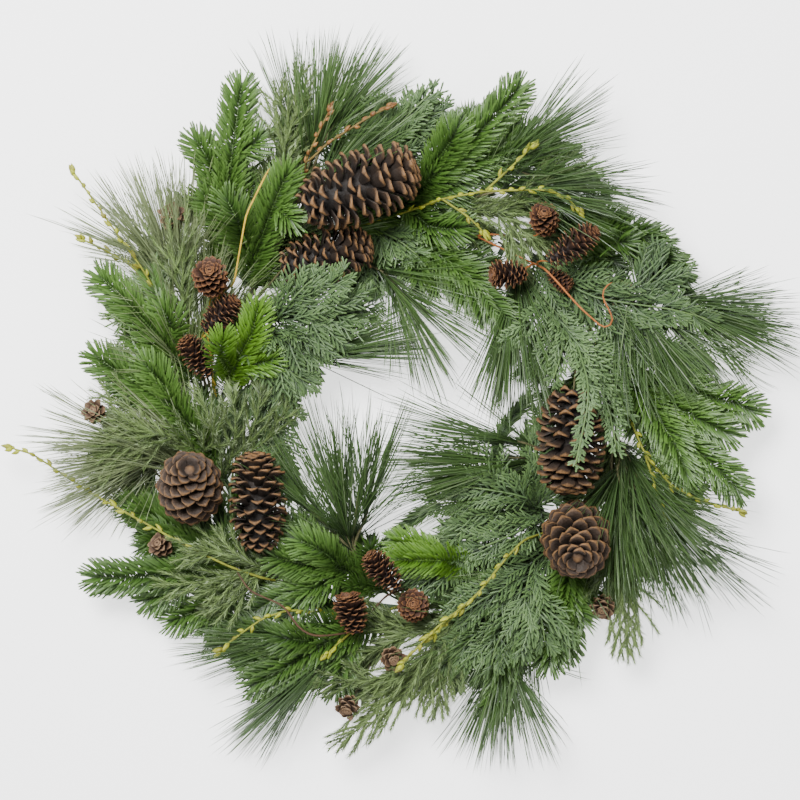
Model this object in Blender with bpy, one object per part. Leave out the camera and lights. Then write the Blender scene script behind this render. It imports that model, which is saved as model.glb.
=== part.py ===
"""A hanging evergreen wreath, laid on its back: a clamp ring, cones, budded twigs and sprays of green."""

import itertools
import math
import random

import bmesh
import bpy
import numpy as np

# Everything is worked out in millimetres and turned into metres when a body is finished.
MM = 0.001

# The wreath is laid out on a square board: x from its left edge, y from its top edge, z above it.
BOARD_HALF = 400.0

# The wire ring and the clamps that hold the stems down on it.
RING_AT = (410.0, 410.0)
RING_RADIUS = 200.0
WIRE_RADIUS = 2.9
WIRE_SIDES = 6
WIRE_RISE = WIRE_RADIUS * math.sin(math.pi / 3)
CLAMPS = 12
CLAMP_HALF = 3.0
GAP_PIECES = 2
PRONG_THICK = 0.8
# A prong's line: how far out from the wire's middle, how high, and its tilt in degrees.
PRONG_LINE = [(17.6, 4.2, 45.0), (19.4, 7.8, 90.0), (15.6, 11.2, 160.0)]
# The rods that stand for a prong side by side, and the step in degrees of those for the ring.
PRONG_ROD = 1.5
PRONG_ROD_SHIFTS = (0.0, -2.2, 2.2)
RING_ROD_STEP = 4

# Stems lie side by side in a clamp, each just clear of its neighbour and of the ring.
STEM_HALF = 1.15
TIP_HALF = 0.7
LANE_PITCH = 4.15
LANE_RISE = 2 * WIRE_RISE + 0.3 + STEM_HALF
LEAST_OVER_WIRE = 1.0
LANE_BACK = 8.0
LANE_AHEAD = 8.0
LANE_ZONE = 34.0
LOWEST = 2.4

# Clearances of needles, of stems and of needles from their own piece, and room kept round a cone.
CLEAR = 0.45
STEM_CLEAR = 0.25
OWN_CLEAR = 0.15
CONE_MARGIN = 1.2

# How often a line is tried, and how much further its points may be moved at each try.
TRIES = 420
STEM_DRIFT = 0.05
NEEDLE_TRIES = 26
NEEDLE_DRIFT = 0.035
FORK_TRIES = 22
FORK_DRIFT = 0.03
END_TRIES = 12

# Stems are square in section. A corner reaches this much further than a face.
CORNER = 1.42
CHORD = 3.0
SAG = 1.8
PROBE = 8.0

# Half the length of stem that a side shoot and a whorl of needles grow from.
KID_HALF = 1.2
WHORL_HALF = 0.9

# Foliage: needle length, spacing of the whorls, lean from the stem in degrees near its foot
# and near its tip, the share of the main stem that is bare, and the length of the end spike.
FOLIAGE = {
    "fir": {"long": 23.0, "pitch": 33.0, "lean": (58, 36), "bare": 0.40, "end": 11.0},
    "pine": {"long": 104.0, "pitch": 12.5, "lean": (36, 9), "bare": 0.0, "end": 88.0},
    "juniper": {"long": 20.0, "pitch": 34.0, "lean": (38, 22), "bare": 0.36, "end": 14.0},
    "cedar": {"long": 31.0, "pitch": 37.0, "lean": (46, 32), "bare": 0.36, "end": 15.0},
    "catkin": {"long": 6.0, "pitch": 52.0, "lean": (34, 30), "bare": 0.36, "end": 5.0},
    "bare": {"long": 0.0, "pitch": 1e9, "lean": (0, 0), "bare": 0.0, "end": 4.0},
}
PINE_TUFT = 48.0

# Cones: cells around, rows of cells, how far out the body is, and how far up a scale leans.
CONES = {
    "large": {"around": 8, "rows": 7, "core": 0.5, "lift": 0.16, "lip": 0.34},
    "small": {"around": 6, "rows": 5, "core": 0.62, "lift": 0.16, "lip": 0.0},
    "tiny": {"around": 5, "rows": 4, "core": 0.6, "lift": 0.2, "lip": 0.0},
}

# Each piece: name, foliage, clock position of its clamp in degrees, the line of its stem,
# side shoots as (where they leave, line), and cones as (where they leave, line, base, tip, radius).
CONE_PIECES = [
    ("cone_top_upper", "large", 300, [(262, 268, 20), (286, 230, 48)], [],
     [(None, [], (306, 209, 76), (418, 167, 80), 39)]),
    ("cone_top_lower", "large", 300, [(262, 290, 22)], [],
     [(None, [], (283, 268, 46), (374, 243, 45), 29)]),
    ("cone_left_open", "large", 240, [(222, 506, 10), (204, 506, 14)], [],
     [(None, [], (190, 507, 30), (193, 465, 109), 34)]),
    ("cone_left_side", "large", 210, [(288, 572, 22), (268, 560, 44)], [],
     [(None, [], (260, 548, 60), (256, 450, 66), 30)]),
    ("cone_right_upper", "large", 60, [(581, 336, 22), (576, 366, 48)], [],
     [(None, [], (573, 391, 64), (568, 492, 70), 37)]),
    ("cone_right_lower", "large", 90, [(610, 450, 9), (598, 492, 10), (584, 512, 16)], [],
     [(None, [], (576, 520, 28), (575, 560, 108), 36)]),
    ("cone_pick_left", "small", 270,
     [(212, 388, 24), (212, 366, 32), (206, 342, 34), (210, 312, 34), (222, 292, 44),
      (234, 286, 66), (238, 268, 78), (243, 232, 80), (252, 203, 78), (271, 168, 70)], [],
     [((212, 384), [(216, 386, 44)], (211, 376, 58), (184, 338, 66), 16),
      ((206, 344), [(200, 341, 46)], (205, 331, 60), (238, 299, 72), 16),
      ((210, 310), [(208, 303, 46)], (214, 291, 58), (211, 271, 92), 19)]),
    ("cone_pick_top", "small", 0,
     [(455, 226, 20), (495, 244, 32), (522, 258, 36), (540, 266, 40)],
     [((530, 262), "bare", [(545, 270, 66), (563, 290, 76), (590, 320, 78), (605, 330, 79),
                            (613, 322, 80), (600, 300, 84), (601, 289, 85), (611, 283, 82)])],
     [(None, [], (549, 271, 46), (570, 288, 50), 11),
      ((526, 260), [(534, 262, 54)], (548, 262, 66), (598, 229, 78), 17),
      ((512, 252), [(530, 272, 44)], (526, 273, 52), (492, 275, 64), 16),
      ((500, 246), [(530, 238, 40)], (545, 231, 50), (543, 213, 80), 16)]),
    ("cone_pick_bottom", "small", 150,
     [(470, 590, 20), (436, 598, 26), (412, 590, 34), (392, 592, 36), (374, 608, 34),
      (352, 632, 38), (336, 634, 56), (318, 636, 66), (303, 631, 68), (286, 606, 70),
      (250, 590, 70), (237, 570, 66)], [],
     [((404, 589), [(402, 588, 54)], (398, 588, 70), (368, 553, 78), 16),
      ((430, 597), [(420, 610, 24)], (414, 612, 32), (413, 603, 62), 17),
      ((356, 628), [(362, 634, 50)], (357, 632, 60), (347, 595, 70), 18)]),
    ("cones_tiny_left", "tiny", 210, [(262, 566, 14), (205, 556, 20), (176, 553, 26)], [],
     [(None, [], (167, 551, 33), (157, 543, 50), 13),
      ((235, 560), [(170, 494, 18), (132, 444, 24), (106, 422, 31)], (99, 416, 35),
       (92, 410, 50), 13)]),
    ("cone_tiny_upper", "tiny", 270, [(196, 340, 22), (180, 280, 24), (174, 235, 30)], [],
     [(None, [], (173, 226, 34), (172, 211, 50), 15)]),
    ("cones_tiny_lower", "tiny", 180, [(384, 628, 18), (374, 660, 22), (358, 690, 28)], [],
     [(None, [], (352, 700, 33), (346, 711, 50), 13),
      ((378, 646), [(386, 652, 30)], (390, 655, 36), (394, 660, 54), 14)]),
    ("cone_tiny_right", "tiny", 90, [(612, 470, 12), (612, 540, 16), (608, 588, 24)], [],
     [(None, [], (606, 599, 29), (602, 612, 46), 14)]),
]

TWIGS = [
    ("twig_left_upper", "catkin", 270,
     [(186, 345, 20), (165, 305, 36), (150, 285, 46), (140, 265, 52), (120, 240, 55),
      (110, 222, 55), (92, 200, 52), (72, 170, 47)],
     [((152, 288), "catkin", [(143, 279, 42), (133, 266, 43), (115, 255, 45), (80, 238, 42)])]),
    ("twig_left_lower", "catkin", 210,
     [(262, 578, 44), (205, 556, 50), (160, 534, 46), (118, 512, 42), (84, 489, 42),
      (58, 470, 42), (30, 456, 40), (8, 448, 36)], []),
    ("twig_top_right", "catkin", 330,
     [(355, 226, 10), (400, 213, 30), (440, 200, 62), (480, 193, 74), (520, 190, 77),
      (550, 192, 77), (566, 198, 75), (579, 213, 72)],
     [((480, 193), "catkin", [(500, 180, 77), (512, 168, 77), (532, 147, 74)]),
      ((444, 200), "catkin", [(465, 215, 70), (485, 235, 68)])]),
    ("twig_right", "catkin", 60,
     [(605, 362, 20), (630, 415, 42), (642, 450, 58), (655, 468, 62), (670, 485, 62),
      (690, 497, 60), (712, 503, 58), (742, 512, 53)],
     [((648, 460), "catkin", [(655, 488, 58), (665, 514, 56)])]),
    ("twig_bottom", "catkin", 120,
     [(562, 528, 12), (520, 542, 62), (480, 590, 80), (440, 622, 82), (400, 665, 74)],
     [((468, 600), "catkin", [(452, 616, 76), (430, 636, 74)])]),
    ("twig_bottom_left", "catkin", 180,
     [(370, 618, 14), (330, 614, 32), (285, 610, 60), (250, 625, 62), (220, 651, 57)],
     [((352, 616), "catkin", [(345, 636, 44), (326, 656, 50)])]),
    ("twig_brown", "catkin", 330,
     [(306, 195, 20), (304, 166, 44), (312, 148, 58), (330, 110, 58)],
     [((306, 158), "catkin", [(320, 150, 60), (355, 125, 62), (390, 107, 58)])]),
]

SPRAYS = [
    ("fir_upper_left", "fir", 300,
     [(232, 262, 22), (226, 215, 40), (229, 180, 50), (235, 130, 54), (243, 78, 48)],
     [((228, 205), "fir", [(212, 165, 50), (191, 133, 46)]),
      ((233, 165), "fir", [(250, 148, 56), (265, 131, 52)])]),
    ("fir_inner_left", "fir", 300,
     [(250, 268, 28), (262, 232, 46), (276, 200, 58), (292, 164, 62)],
     [((252, 262), "fir", [(226, 222, 46), (198, 188, 50)]),
      ((266, 224), "fir", [(285, 218, 64), (301, 224, 66)]),
      ((257, 245), "fir", [(240, 220, 60), (222, 192, 58)])]),
    ("fir_left_upper", "fir", 270,
     [(190, 375, 28), (165, 345, 42), (135, 310, 48), (94, 271, 42)],
     [((176, 358), "fir", [(172, 325, 52), (156, 300, 52)]),
      ((142, 317), "fir", [(126, 319, 44), (109, 312, 40)])]),
    ("fir_left", "fir", 240,
     [(212, 462, 18), (186, 420, 34), (165, 400, 44), (135, 384, 48), (89, 352, 42)],
     [((176, 410), "fir", [(160, 380, 52), (139, 359, 52)])]),
    ("fir_bright_left", "fir", 270,
     [(222, 392, 34), (234, 368, 58), (254, 332, 70), (261, 299, 68)],
     [((240, 358), "fir", [(262, 364, 60), (281, 356, 58)]),
      ((231, 376), "fir", [(222, 352, 84), (226, 330, 86)])]),
    ("fir_lower_left", "fir", 210,
     [(265, 576, 20), (210, 572, 34), (150, 577, 40), (85, 578, 36)],
     [((200, 573), "fir", [(170, 592, 32), (139, 604, 28)]),
      ((268, 577), "fir", [(228, 598, 22), (196, 610, 24), (164, 625, 24)]),
      ((225, 572), "fir", [(180, 532, 24), (150, 518, 26), (128, 512, 26)])]),
    ("fir_lower_inner", "fir", 180,
     [(372, 586, 26), (332, 570, 44), (292, 560, 52), (266, 556, 50)],
     [((350, 577), "fir", [(325, 552, 54), (290, 536, 54)]),
      ((340, 573), "fir", [(312, 588, 44), (286, 592, 42)])]),
    ("fir_bottom_left", "fir", 180,
     [(370, 628, 22), (332, 640, 36), (290, 665, 44), (246, 689, 38)],
     [((340, 637), "fir", [(343, 668, 34), (334, 698, 30)]),
      ((318, 646), "fir", [(296, 640, 52), (268, 634, 48)])]),
    ("fir_bright_bottom", "fir", 150,
     [(480, 572, 30), (452, 562, 58), (420, 560, 64), (389, 560, 62)],
     [((444, 562), "fir", [(418, 546, 50), (388, 540, 44)])]),
    ("fir_bottom", "fir", 120,
     [(572, 558, 20), (567, 600, 38), (566, 662, 36)],
     [((570, 582), "fir", [(554, 625, 44), (549, 673, 36)]),
      ((576, 545), "fir", [(540, 592, 22), (510, 640, 34), (497, 690, 36), (488, 719, 32)])]),
    ("fir_right", "fir", 60,
     [(614, 352, 24), (650, 405, 44), (695, 450, 54), (728, 478, 52), (744, 497, 46)],
     [((641, 392), "fir", [(672, 440, 62), (690, 484, 58)]),
      ((628, 372), "fir", [(668, 380, 40), (702, 392, 44), (736, 405, 42), (763, 416, 36)]),
      ((660, 415), "fir", [(695, 415, 56), (736, 438, 48)])]),
    ("fir_top", "fir", 330,
     [(365, 221, 10), (402, 204, 26), (432, 178, 50), (490, 122, 60), (524, 82, 52)],
     [((440, 170), "fir", [(472, 163, 48), (503, 151, 46)]),
      ((450, 160), "fir", [(452, 138, 66), (462, 118, 66)]),
      ((398, 206), "fir", [(432, 228, 40), (470, 226, 50)]),
      ((388, 211), "fir", [(420, 240, 26), (452, 268, 40), (484, 286, 42)])]),
    ("fir_top_right", "fir", 30,
     [(570, 238, 22), (622, 234, 40), (671, 244, 40)],
     [((628, 235), "fir", [(658, 262, 36), (689, 272, 34)]),
      ((600, 236), "fir", [(616, 242, 58), (634, 240, 60)])]),
    ("cedar_inner_top", "cedar", 300,
     [(260, 322, 34), (285, 318, 56), (315, 300, 70), (348, 272, 80)],
     [((268, 322), "cedar", [(284, 352, 52), (308, 386, 52)]),
      ((300, 310), "cedar", [(322, 318, 66), (348, 312, 64)])]),
    ("cedar_top", "cedar", 330,
     [(350, 192, 16), (382, 145, 32), (412, 110, 46), (436, 88, 46)],
     [((338, 206), "cedar", [(368, 222, 9), (398, 238, 34), (422, 258, 42)])]),
    ("cedar_right_top", "cedar", 30,
     [(552, 275, 26), (602, 300, 56), (655, 306, 62), (714, 321, 56)],
     [((625, 304), "cedar", [(648, 282, 64), (668, 263, 60)]),
      ((612, 302), "cedar", [(632, 330, 60), (656, 344, 58)])]),
    ("cedar_over_cone", "cedar", 30,
     [(548, 300, 34), (577, 345, 66), (586, 395, 108), (572, 468, 112)],
     [((582, 360), "cedar", [(605, 400, 76), (616, 454, 82)]),
      ((552, 304), "cedar", [(532, 322, 54), (500, 346, 56)])]),
    ("cedar_inner_right", "cedar", 120,
     [(545, 516, 12), (505, 502, 38), (432, 504, 44)],
     [((520, 508), "cedar", [(490, 528, 46), (452, 536, 46)]),
      ((500, 503), "cedar", [(490, 482, 44), (462, 474, 42)])]),
    ("cedar_bottom", "cedar", 120,
     [(560, 546, 12), (533, 562, 40), (524, 604, 64), (519, 660, 58)],
     [((530, 570), "cedar", [(500, 596, 52), (462, 664, 50)]),
      ((526, 590), "cedar", [(540, 612, 66), (545, 646, 62)])]),
    ("soft_left_upper", "juniper", 270,
     [(192, 350, 26), (182, 290, 54), (186, 232, 62), (189, 186, 56)],
     [((183, 270), "juniper", [(172, 240, 60), (166, 208, 58)])]),
    ("soft_left", "juniper", 240,
     [(205, 458, 20), (165, 436, 54), (125, 428, 54), (91, 434, 46)],
     [((160, 434), "juniper", [(140, 450, 50), (118, 462, 46)])]),
    ("soft_lower_left", "juniper", 210,
     [(272, 570, 34), (240, 556, 62), (213, 528, 62)],
     [((250, 560), "juniper", [(205, 549, 56), (168, 538, 58)]),
      ((262, 566), "juniper", [(205, 582, 52), (153, 586, 52)])]),
    ("soft_top_left", "juniper", 300,
     [(264, 240, 16), (282, 180, 42), (289, 112, 50), (304, 62, 44)],
     [((288, 130), "juniper", [(280, 105, 54), (282, 80, 50)])]),
    ("soft_right", "juniper", 90,
     [(620, 470, 14), (620, 545, 30), (624, 600, 42), (629, 664, 36)], []),
    ("soft_bottom", "juniper", 150,
     [(460, 630, 26), (412, 680, 44), (372, 715, 46), (329, 750, 38)],
     [((446, 644), "juniper", [(438, 682, 36), (443, 719, 34)]),
      ((400, 690), "juniper", [(352, 680, 46), (311, 686, 44)])]),
    ("soft_top_right", "juniper", 0,
     [(460, 210, 24), (500, 212, 50), (540, 184, 62)],
     [((505, 210), "juniper", [(520, 235, 60), (524, 262, 66)])]),
    ("pine_upper_left", "pine", 300, [(278, 250, 18), (300, 200, 26), (321, 116, 38)], []),
    ("pine_top_right", "pine", 0, [(460, 195, 22), (500, 162, 42), (524, 148, 46)],
     [((468, 188), "pine", [(510, 187, 44), (548, 190, 54)])]),
    ("pine_right_upper", "pine", 30, [(582, 262, 22), (645, 292, 34), (715, 318, 42)], []),
    ("pine_right_lower", "pine", 90, [(617, 440, 22), (628, 480, 36), (650, 522, 44)],
     [((616, 432), "pine", [(612, 480, 34), (622, 524, 44)])]),
    ("pine_bottom", "pine", 120, [(548, 570, 18), (512, 620, 26), (497, 678, 30)], []),
    ("pine_bottom_left", "pine", 180, [(366, 640, 18), (326, 655, 26), (298, 684, 30)],
     [((350, 646), "pine", [(305, 640, 30), (272, 642, 32)])]),
    ("pine_left_pale", "pine", 240, [(205, 468, 14), (172, 450, 20), (138, 456, 26)], []),
    ("pine_upper_pale", "pine", 270, [(196, 350, 14), (180, 295, 20), (164, 244, 26)], []),
    ("pine_hole_top", "pine", 330, [(348, 252, 9), (385, 272, 30), (407, 300, 40)], []),
    ("pine_hole_bottom", "pine", 180, [(372, 582, 18), (350, 548, 34), (338, 506, 42)], []),
    ("pine_hole_right", "pine", 90, [(590, 442, 10), (560, 456, 14), (530, 463, 26), (492, 470, 36)],
     []),
    ("pine_hole_down", "pine", 30, [(518, 268, 20), (511, 308, 34)], []),
    ("pine_hole_left", "pine", 270, [(245, 388, 18), (290, 360, 28), (326, 353, 32)], []),
]

# Pieces with a paint other than that of their foliage.
OWN_PAINT = {
    "twig_brown": "rust",
    "fir_bright_left": "bright",
    "fir_bright_bottom": "bright",
    "pine_left_pale": "pale",
    "pine_upper_pale": "pale",
}

# Colour, roughness and metallic value of each paint.
COLOURS = {
    "wire": ((0.035, 0.05, 0.03), 0.45, 0.8),
    "large": ((0.16, 0.075, 0.035), 0.75, 0.0),
    "small": ((0.24, 0.10, 0.045), 0.75, 0.0),
    "tiny": ((0.26, 0.15, 0.08), 0.8, 0.0),
    "catkin": ((0.33, 0.32, 0.05), 0.7, 0.0),
    "fir": ((0.055, 0.15, 0.035), 0.55, 0.0),
    "pine": ((0.05, 0.11, 0.04), 0.5, 0.0),
    "cedar": ((0.09, 0.18, 0.07), 0.6, 0.0),
    "juniper": ((0.16, 0.24, 0.12), 0.6, 0.0),
    "rust": ((0.36, 0.15, 0.05), 0.7, 0.0),
    "bright": ((0.16, 0.32, 0.05), 0.55, 0.0),
    "pale": ((0.21, 0.27, 0.13), 0.6, 0.0),
}
SLOTS = {
    "wire": "green_wire",
    "large": "open_cone_scales",
    "small": "brown_cone_scales",
    "tiny": "pale_cone_scales",
    "catkin": "yellow_buds",
    "fir": "fir_green",
    "pine": "pine_green",
    "cedar": "cedar_green",
    "juniper": "soft_grey_green",
    "rust": "rust_brown_buds",
    "bright": "bright_fir_green",
    "pale": "pale_pine_green",
}


def on_board(point):
    """A place on the layout board, as x to the right, y up the board and z off it."""
    return np.array([point[0] - BOARD_HALF, BOARD_HALF - point[1], point[2]], float)


def unit(vector):
    return vector / np.linalg.norm(vector)


def square_to(vector, along):
    """The part of a vector that is at right angles to a direction, as a unit vector."""
    left = vector - along * (vector @ along)
    if np.linalg.norm(left) < 1e-6:
        left = np.cross(along, (0.3, 0.5, 0.8))
    return unit(left)


def bend(points, before):
    """A smooth line through the points, as short chords, starting out as if it came from `before`."""
    knots = [np.array(before, float)] + [np.array(p, float) for p in points]
    knots.append(2 * knots[-1] - knots[-2])
    line = []
    for i in range(1, len(knots) - 2):
        a, b, c, d = knots[i - 1 : i + 3]
        u = math.sqrt(np.linalg.norm(b - a))
        v = math.sqrt(np.linalg.norm(c - b))
        w = math.sqrt(np.linalg.norm(d - c))
        start = ((b - a) / u - (c - a) / (u + v) + (c - b) / v) * v
        stop = ((c - b) / v - (d - b) / (v + w) + (d - c) / w) * v
        pieces = max(2, math.ceil(np.linalg.norm(c - b) / CHORD))
        for k in range(pieces):
            t = k / pieces
            line.append(
                (2 * t**3 - 3 * t**2 + 1) * b
                + (t**3 - 2 * t**2 + t) * start
                + (3 * t**2 - 2 * t**3) * c
                + (t**3 - t**2) * stop
            )
    line.append(knots[-2])
    return np.array(line)


def simplify(line, sag):
    """The fewest points of a line whose straight chords stay within a sag of it."""
    kept = [0]
    while kept[-1] < len(line) - 1:
        a = kept[-1]
        b = len(line) - 1
        while b > a + 1:
            chord = unit(line[b] - line[a])
            away = line[a + 1 : b] - line[a]
            off = away - np.outer(away @ chord, chord)
            if np.linalg.norm(off, axis=1).max() < sag:
                break
            b -= 1
        kept.append(b)
    return line[kept]


class Shoot:
    """The line of a stem, with a cross-section that turns as little as it can along it."""

    def __init__(self, points, before, side, hand, halves):
        self.line = simplify(bend(points, before), SAG)
        steps = np.diff(self.line, axis=0)
        lengths = np.linalg.norm(steps, axis=1)
        self.at_length = np.concatenate([[0.0], np.cumsum(lengths)])
        self.length = self.at_length[-1]
        ways = steps / lengths[:, None]
        self.ways = np.vstack([ways[:1], ways[1:] + ways[:-1], ways[-1:]])
        self.ways /= np.linalg.norm(self.ways, axis=1)[:, None]
        self.hand = hand
        self.halves = halves
        turned = square_to(np.array(side, float), self.ways[0])
        sides = []
        for way in self.ways:
            turned = square_to(turned, way)
            sides.append(turned)
        self.sides = np.array(sides)
        self.kids = []
        self.cone = None
        self.lane = None
        self.foliage = "bare"

    def at(self, length):
        """Place, direction and the two cross-section axes at a length along the stem."""
        place = np.array([np.interp(length, self.at_length, c) for c in self.line.T])
        way = unit(np.array([np.interp(length, self.at_length, c) for c in self.ways.T]))
        side = square_to(
            np.array([np.interp(length, self.at_length, c) for c in self.sides.T]), way
        )
        return place, way, side, self.hand * np.cross(way, side)

    def stops(self):
        """Lengths along the stem that cut each straight chord into short even pieces."""
        out = [0.0]
        for s, e in zip(self.at_length[:-1], self.at_length[1:]):
            pieces = math.ceil((e - s) / PROBE)
            out += [s + (e - s) * (k + 1) / pieces for k in range(pieces)]
        return out

    def half(self, length):
        first, last = self.halves
        return first + (last - first) * min(length / self.length, 1.0)

    def nearest(self, spot):
        """The length along the stem that is nearest to a spot on the board."""
        flat = on_board((spot[0], spot[1], 0))[:2]
        miss = np.linalg.norm(self.line[:, :2] - flat, axis=1)
        return float(np.clip(self.at_length[miss.argmin()], 10.0, self.length - 6.0))


class Rods:
    """Every stem, needle, cone and wire already placed, as tapered rods to keep clear of."""

    def __init__(self, most=16000):
        self.count = 0
        self.a = np.zeros((most, 3))
        self.b = np.zeros((most, 3))
        self.ra = np.zeros(most)
        self.rb = np.zeros(most)
        self.node = np.zeros(most, int)
        self.shoot = np.zeros(most, int)

    def add(self, a, b, ra, rb, node, shoot):
        n = self.count
        self.a[n] = a
        self.b[n] = b
        self.ra[n] = ra
        self.rb[n] = rb
        self.node[n] = node
        self.shoot[n] = shoot
        self.count += 1

    def room(self, p, q, rp, rq, use):
        """The least distance between the skin of one rod and those of the rods in use."""
        n = np.flatnonzero(use)
        if not len(n):
            return 1e9
        one = q - p
        two = self.b[n] - self.a[n]
        gap = p - self.a[n]
        aa = one @ one + 1e-12
        ee = np.einsum("ij,ij->i", two, two) + 1e-12
        ff = np.einsum("ij,ij->i", two, gap)
        cc = gap @ one
        bb = two @ one
        under = aa * ee - bb * bb
        s = np.where(under > 1e-9, (bb * ff - cc * ee) / np.where(under > 1e-9, under, 1), 0)
        s = np.clip(s, 0, 1)
        t = np.clip((bb * s + ff) / ee, 0, 1)
        s = np.clip((bb * t - cc) / aa, 0, 1)
        apart = gap + s[:, None] * one - t[:, None] * two
        skin = rp + (rq - rp) * s + self.ra[n] + (self.rb[n] - self.ra[n]) * t
        return float((np.linalg.norm(apart, axis=1) - skin).min())

    def near(self, p, q, reach):
        """Which rods have any chance of being within reach of a rod."""
        low = np.minimum(p, q) - reach
        high = np.maximum(p, q) + reach
        a = self.a[: self.count]
        b = self.b[: self.count]
        big = np.maximum(self.ra, self.rb)[: self.count, None]
        hit = (np.maximum(a, b) + big > low) & (np.minimum(a, b) - big < high)
        return hit.all(axis=1)


# The node number of the wire frame, and the stem numbers of what is no stem.
FRAME = 0
NO_STEM = 0
NEEDLE = -1
FIRST_GREEN_STEM = 100
rods = Rods()


def clamp_axes(clock):
    """The middle of a clamp, the way the stems run there and the way out from the ring."""
    angle = math.radians(clock)
    out = np.array([math.sin(angle), math.cos(angle), 0.0])
    way = np.array([math.cos(angle), -math.sin(angle), 0.0])
    centre = on_board((*RING_AT, 0.0)) + out * RING_RADIUS
    return centre, way, out


def lanes_of(pieces):
    """The place of each piece in its clamp, so that stems which head outwards lie outermost."""
    lanes = {}
    for clock in sorted({piece[2] for piece in pieces}):
        centre, way, out = clamp_axes(clock)
        here = [piece for piece in pieces if piece[2] == clock]

        def heading(piece):
            first = on_board(piece[3][0]) - centre
            return math.atan2(first @ out, first @ way)

        here.sort(key=heading)
        for i, piece in enumerate(here):
            lanes[piece[0]] = (i - (len(here) - 1) / 2) * LANE_PITCH
    return lanes


def stem_is_clear(shoot, node, number, clamped, skip):
    """Whether a stem keeps clear of all that is placed, of the board and of its own other stems."""
    stops = shoot.stops()
    places = [shoot.at(s)[0] for s in stops]
    for i in range(len(places) - 1):
        p, q = places[i], places[i + 1]
        rp = shoot.half(stops[i])
        rq = shoot.half(stops[i + 1])
        if min(p[2] - rp, q[2] - rq) < LOWEST:
            return False
        near = rods.near(p, q, 4.0)
        near &= rods.shoot[: rods.count] != number
        if stops[i] < skip:
            near &= rods.node[: rods.count] != node
        if stops[i] < LANE_ZONE and clamped:
            wire = near & (rods.node[: rods.count] == FRAME)
            near &= ~wire
            if rods.room(p, q, 0.0, 0.0, wire) < LEAST_OVER_WIRE:
                return False
        if rods.room(p, q, rp * CORNER, rq * CORNER, near) < STEM_CLEAR:
            return False
    return True


def set_stem(shoot, node, number):
    """Keeps a stem's place, as rods."""
    stops = shoot.stops()
    for s, e in zip(stops[:-1], stops[1:]):
        halves = (shoot.half(s) * CORNER, shoot.half(e) * CORNER)
        rods.add(shoot.at(s)[0], shoot.at(e)[0], *halves, node, number)


def moved(points, rng, amount, keep_last):
    """The points shifted at random, the last one less than the others."""
    out = []
    for i, point in enumerate(points):
        share = 0.25 if keep_last and i == len(points) - 1 else 1.0
        share = min(share, 0.55) if i == 0 else share
        flat = amount * share
        shift = [rng.uniform(-flat, flat), rng.uniform(-flat, flat), rng.uniform(-2 * flat, 2 * flat)]
        place = np.array(point, float) + shift
        place[2] = max(place[2], LOWEST + 4.0)
        out.append(place)
    return out


def cone_profile(share, radius):
    """How far out the scales reach at a share of the way from the base to the tip."""
    return radius * math.sin(math.pi * (0.07 + 0.88 * share)) ** 0.6


def set_cone(base, tip, radius, node, number):
    """Keeps a cone's place, as a row of balls along its axis."""
    length = np.linalg.norm(tip - base)
    for share in np.linspace(0.04, 0.96, 11):
        wide = min(cone_profile(share, radius), share * length + 4, (1 - share) * length + 4)
        wide += CONE_MARGIN
        place = base + (tip - base) * share
        rods.add(place, place, wide, wide, node, number)


def side_start(parent, length, first):
    """Where a side shoot leaves: the face of the stem that looks most towards its first point."""
    place, way, side, up = parent.at(length)
    half = parent.half(length)
    toward = first - place
    faces = [side, -side, up, -up]
    out = max(faces, key=lambda face: face @ toward)
    return place, way, out, half


def grow_side(parent, spot, points, halves, node, number, rng, cone=None):
    """Finds room for a side shoot, moving its line a little further at each try."""
    length = parent.nearest(spot)
    for attempt in range(TRIES):
        amount = attempt * STEM_DRIFT
        s = float(np.clip(length + rng.uniform(-1, 1) * amount, 9.0, parent.length - 5.0))
        if any(abs(s - other[0]) < 2 * KID_HALF + 1.5 for other in parent.kids):
            continue
        target = [on_board(p) for p in points] + ([cone[0]] if cone else [])
        line = moved(target, rng, amount, True)
        if cone:
            line[-1] = cone[0]
        place, way, out, half = side_start(parent, s, line[0])
        start = place + out * half
        toward = unit(line[0] - start)
        lead = start + out * 2.5 + toward * 2.5
        shoot = Shoot([start, lead] + line, place, way, 1.0, halves)
        across = np.cross(way, out)
        first_way = shoot.ways[0]
        flat = square_to(across, first_way)
        if np.cross(first_way, shoot.sides[0]) @ flat < 0:
            shoot.hand = -1.0
        if not stem_is_clear(shoot, node, number, False, 8.0):
            continue
        parent.kids.append((s, shoot, out))
        set_stem(shoot, node, number)
        return shoot
    raise RuntimeError(f"no room for a side shoot at {spot}")


def grow_main(piece, lane, node, number, rng, cone=None):
    """Finds room for the main stem of a piece, from its lane in the clamp to its tip."""
    name, _, clock, points = piece[:4]
    centre, way, out = clamp_axes(clock)
    root = centre + out * lane + np.array([0.0, 0.0, LANE_RISE])
    back = root - way * LANE_BACK
    ahead = root + way * LANE_AHEAD
    halves = (STEM_HALF, TIP_HALF)
    for attempt in range(TRIES):
        target = [on_board(p) for p in points]
        line = moved(target, rng, attempt * STEM_DRIFT, cone is None)
        if cone:
            line.append(cone[0])
            halves = (STEM_HALF, STEM_HALF)
        shoot = Shoot([ahead] + line, root, out, 1.0, halves)
        if stem_is_clear(shoot, node, number, True, 0.0):
            shoot.lane = (back, ahead, way, out)
            set_stem(shoot, node, number)
            rods.add(back, ahead, STEM_HALF * CORNER, STEM_HALF * CORNER, node, number)
            return shoot
    raise RuntimeError(f"no room for {name}")


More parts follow.
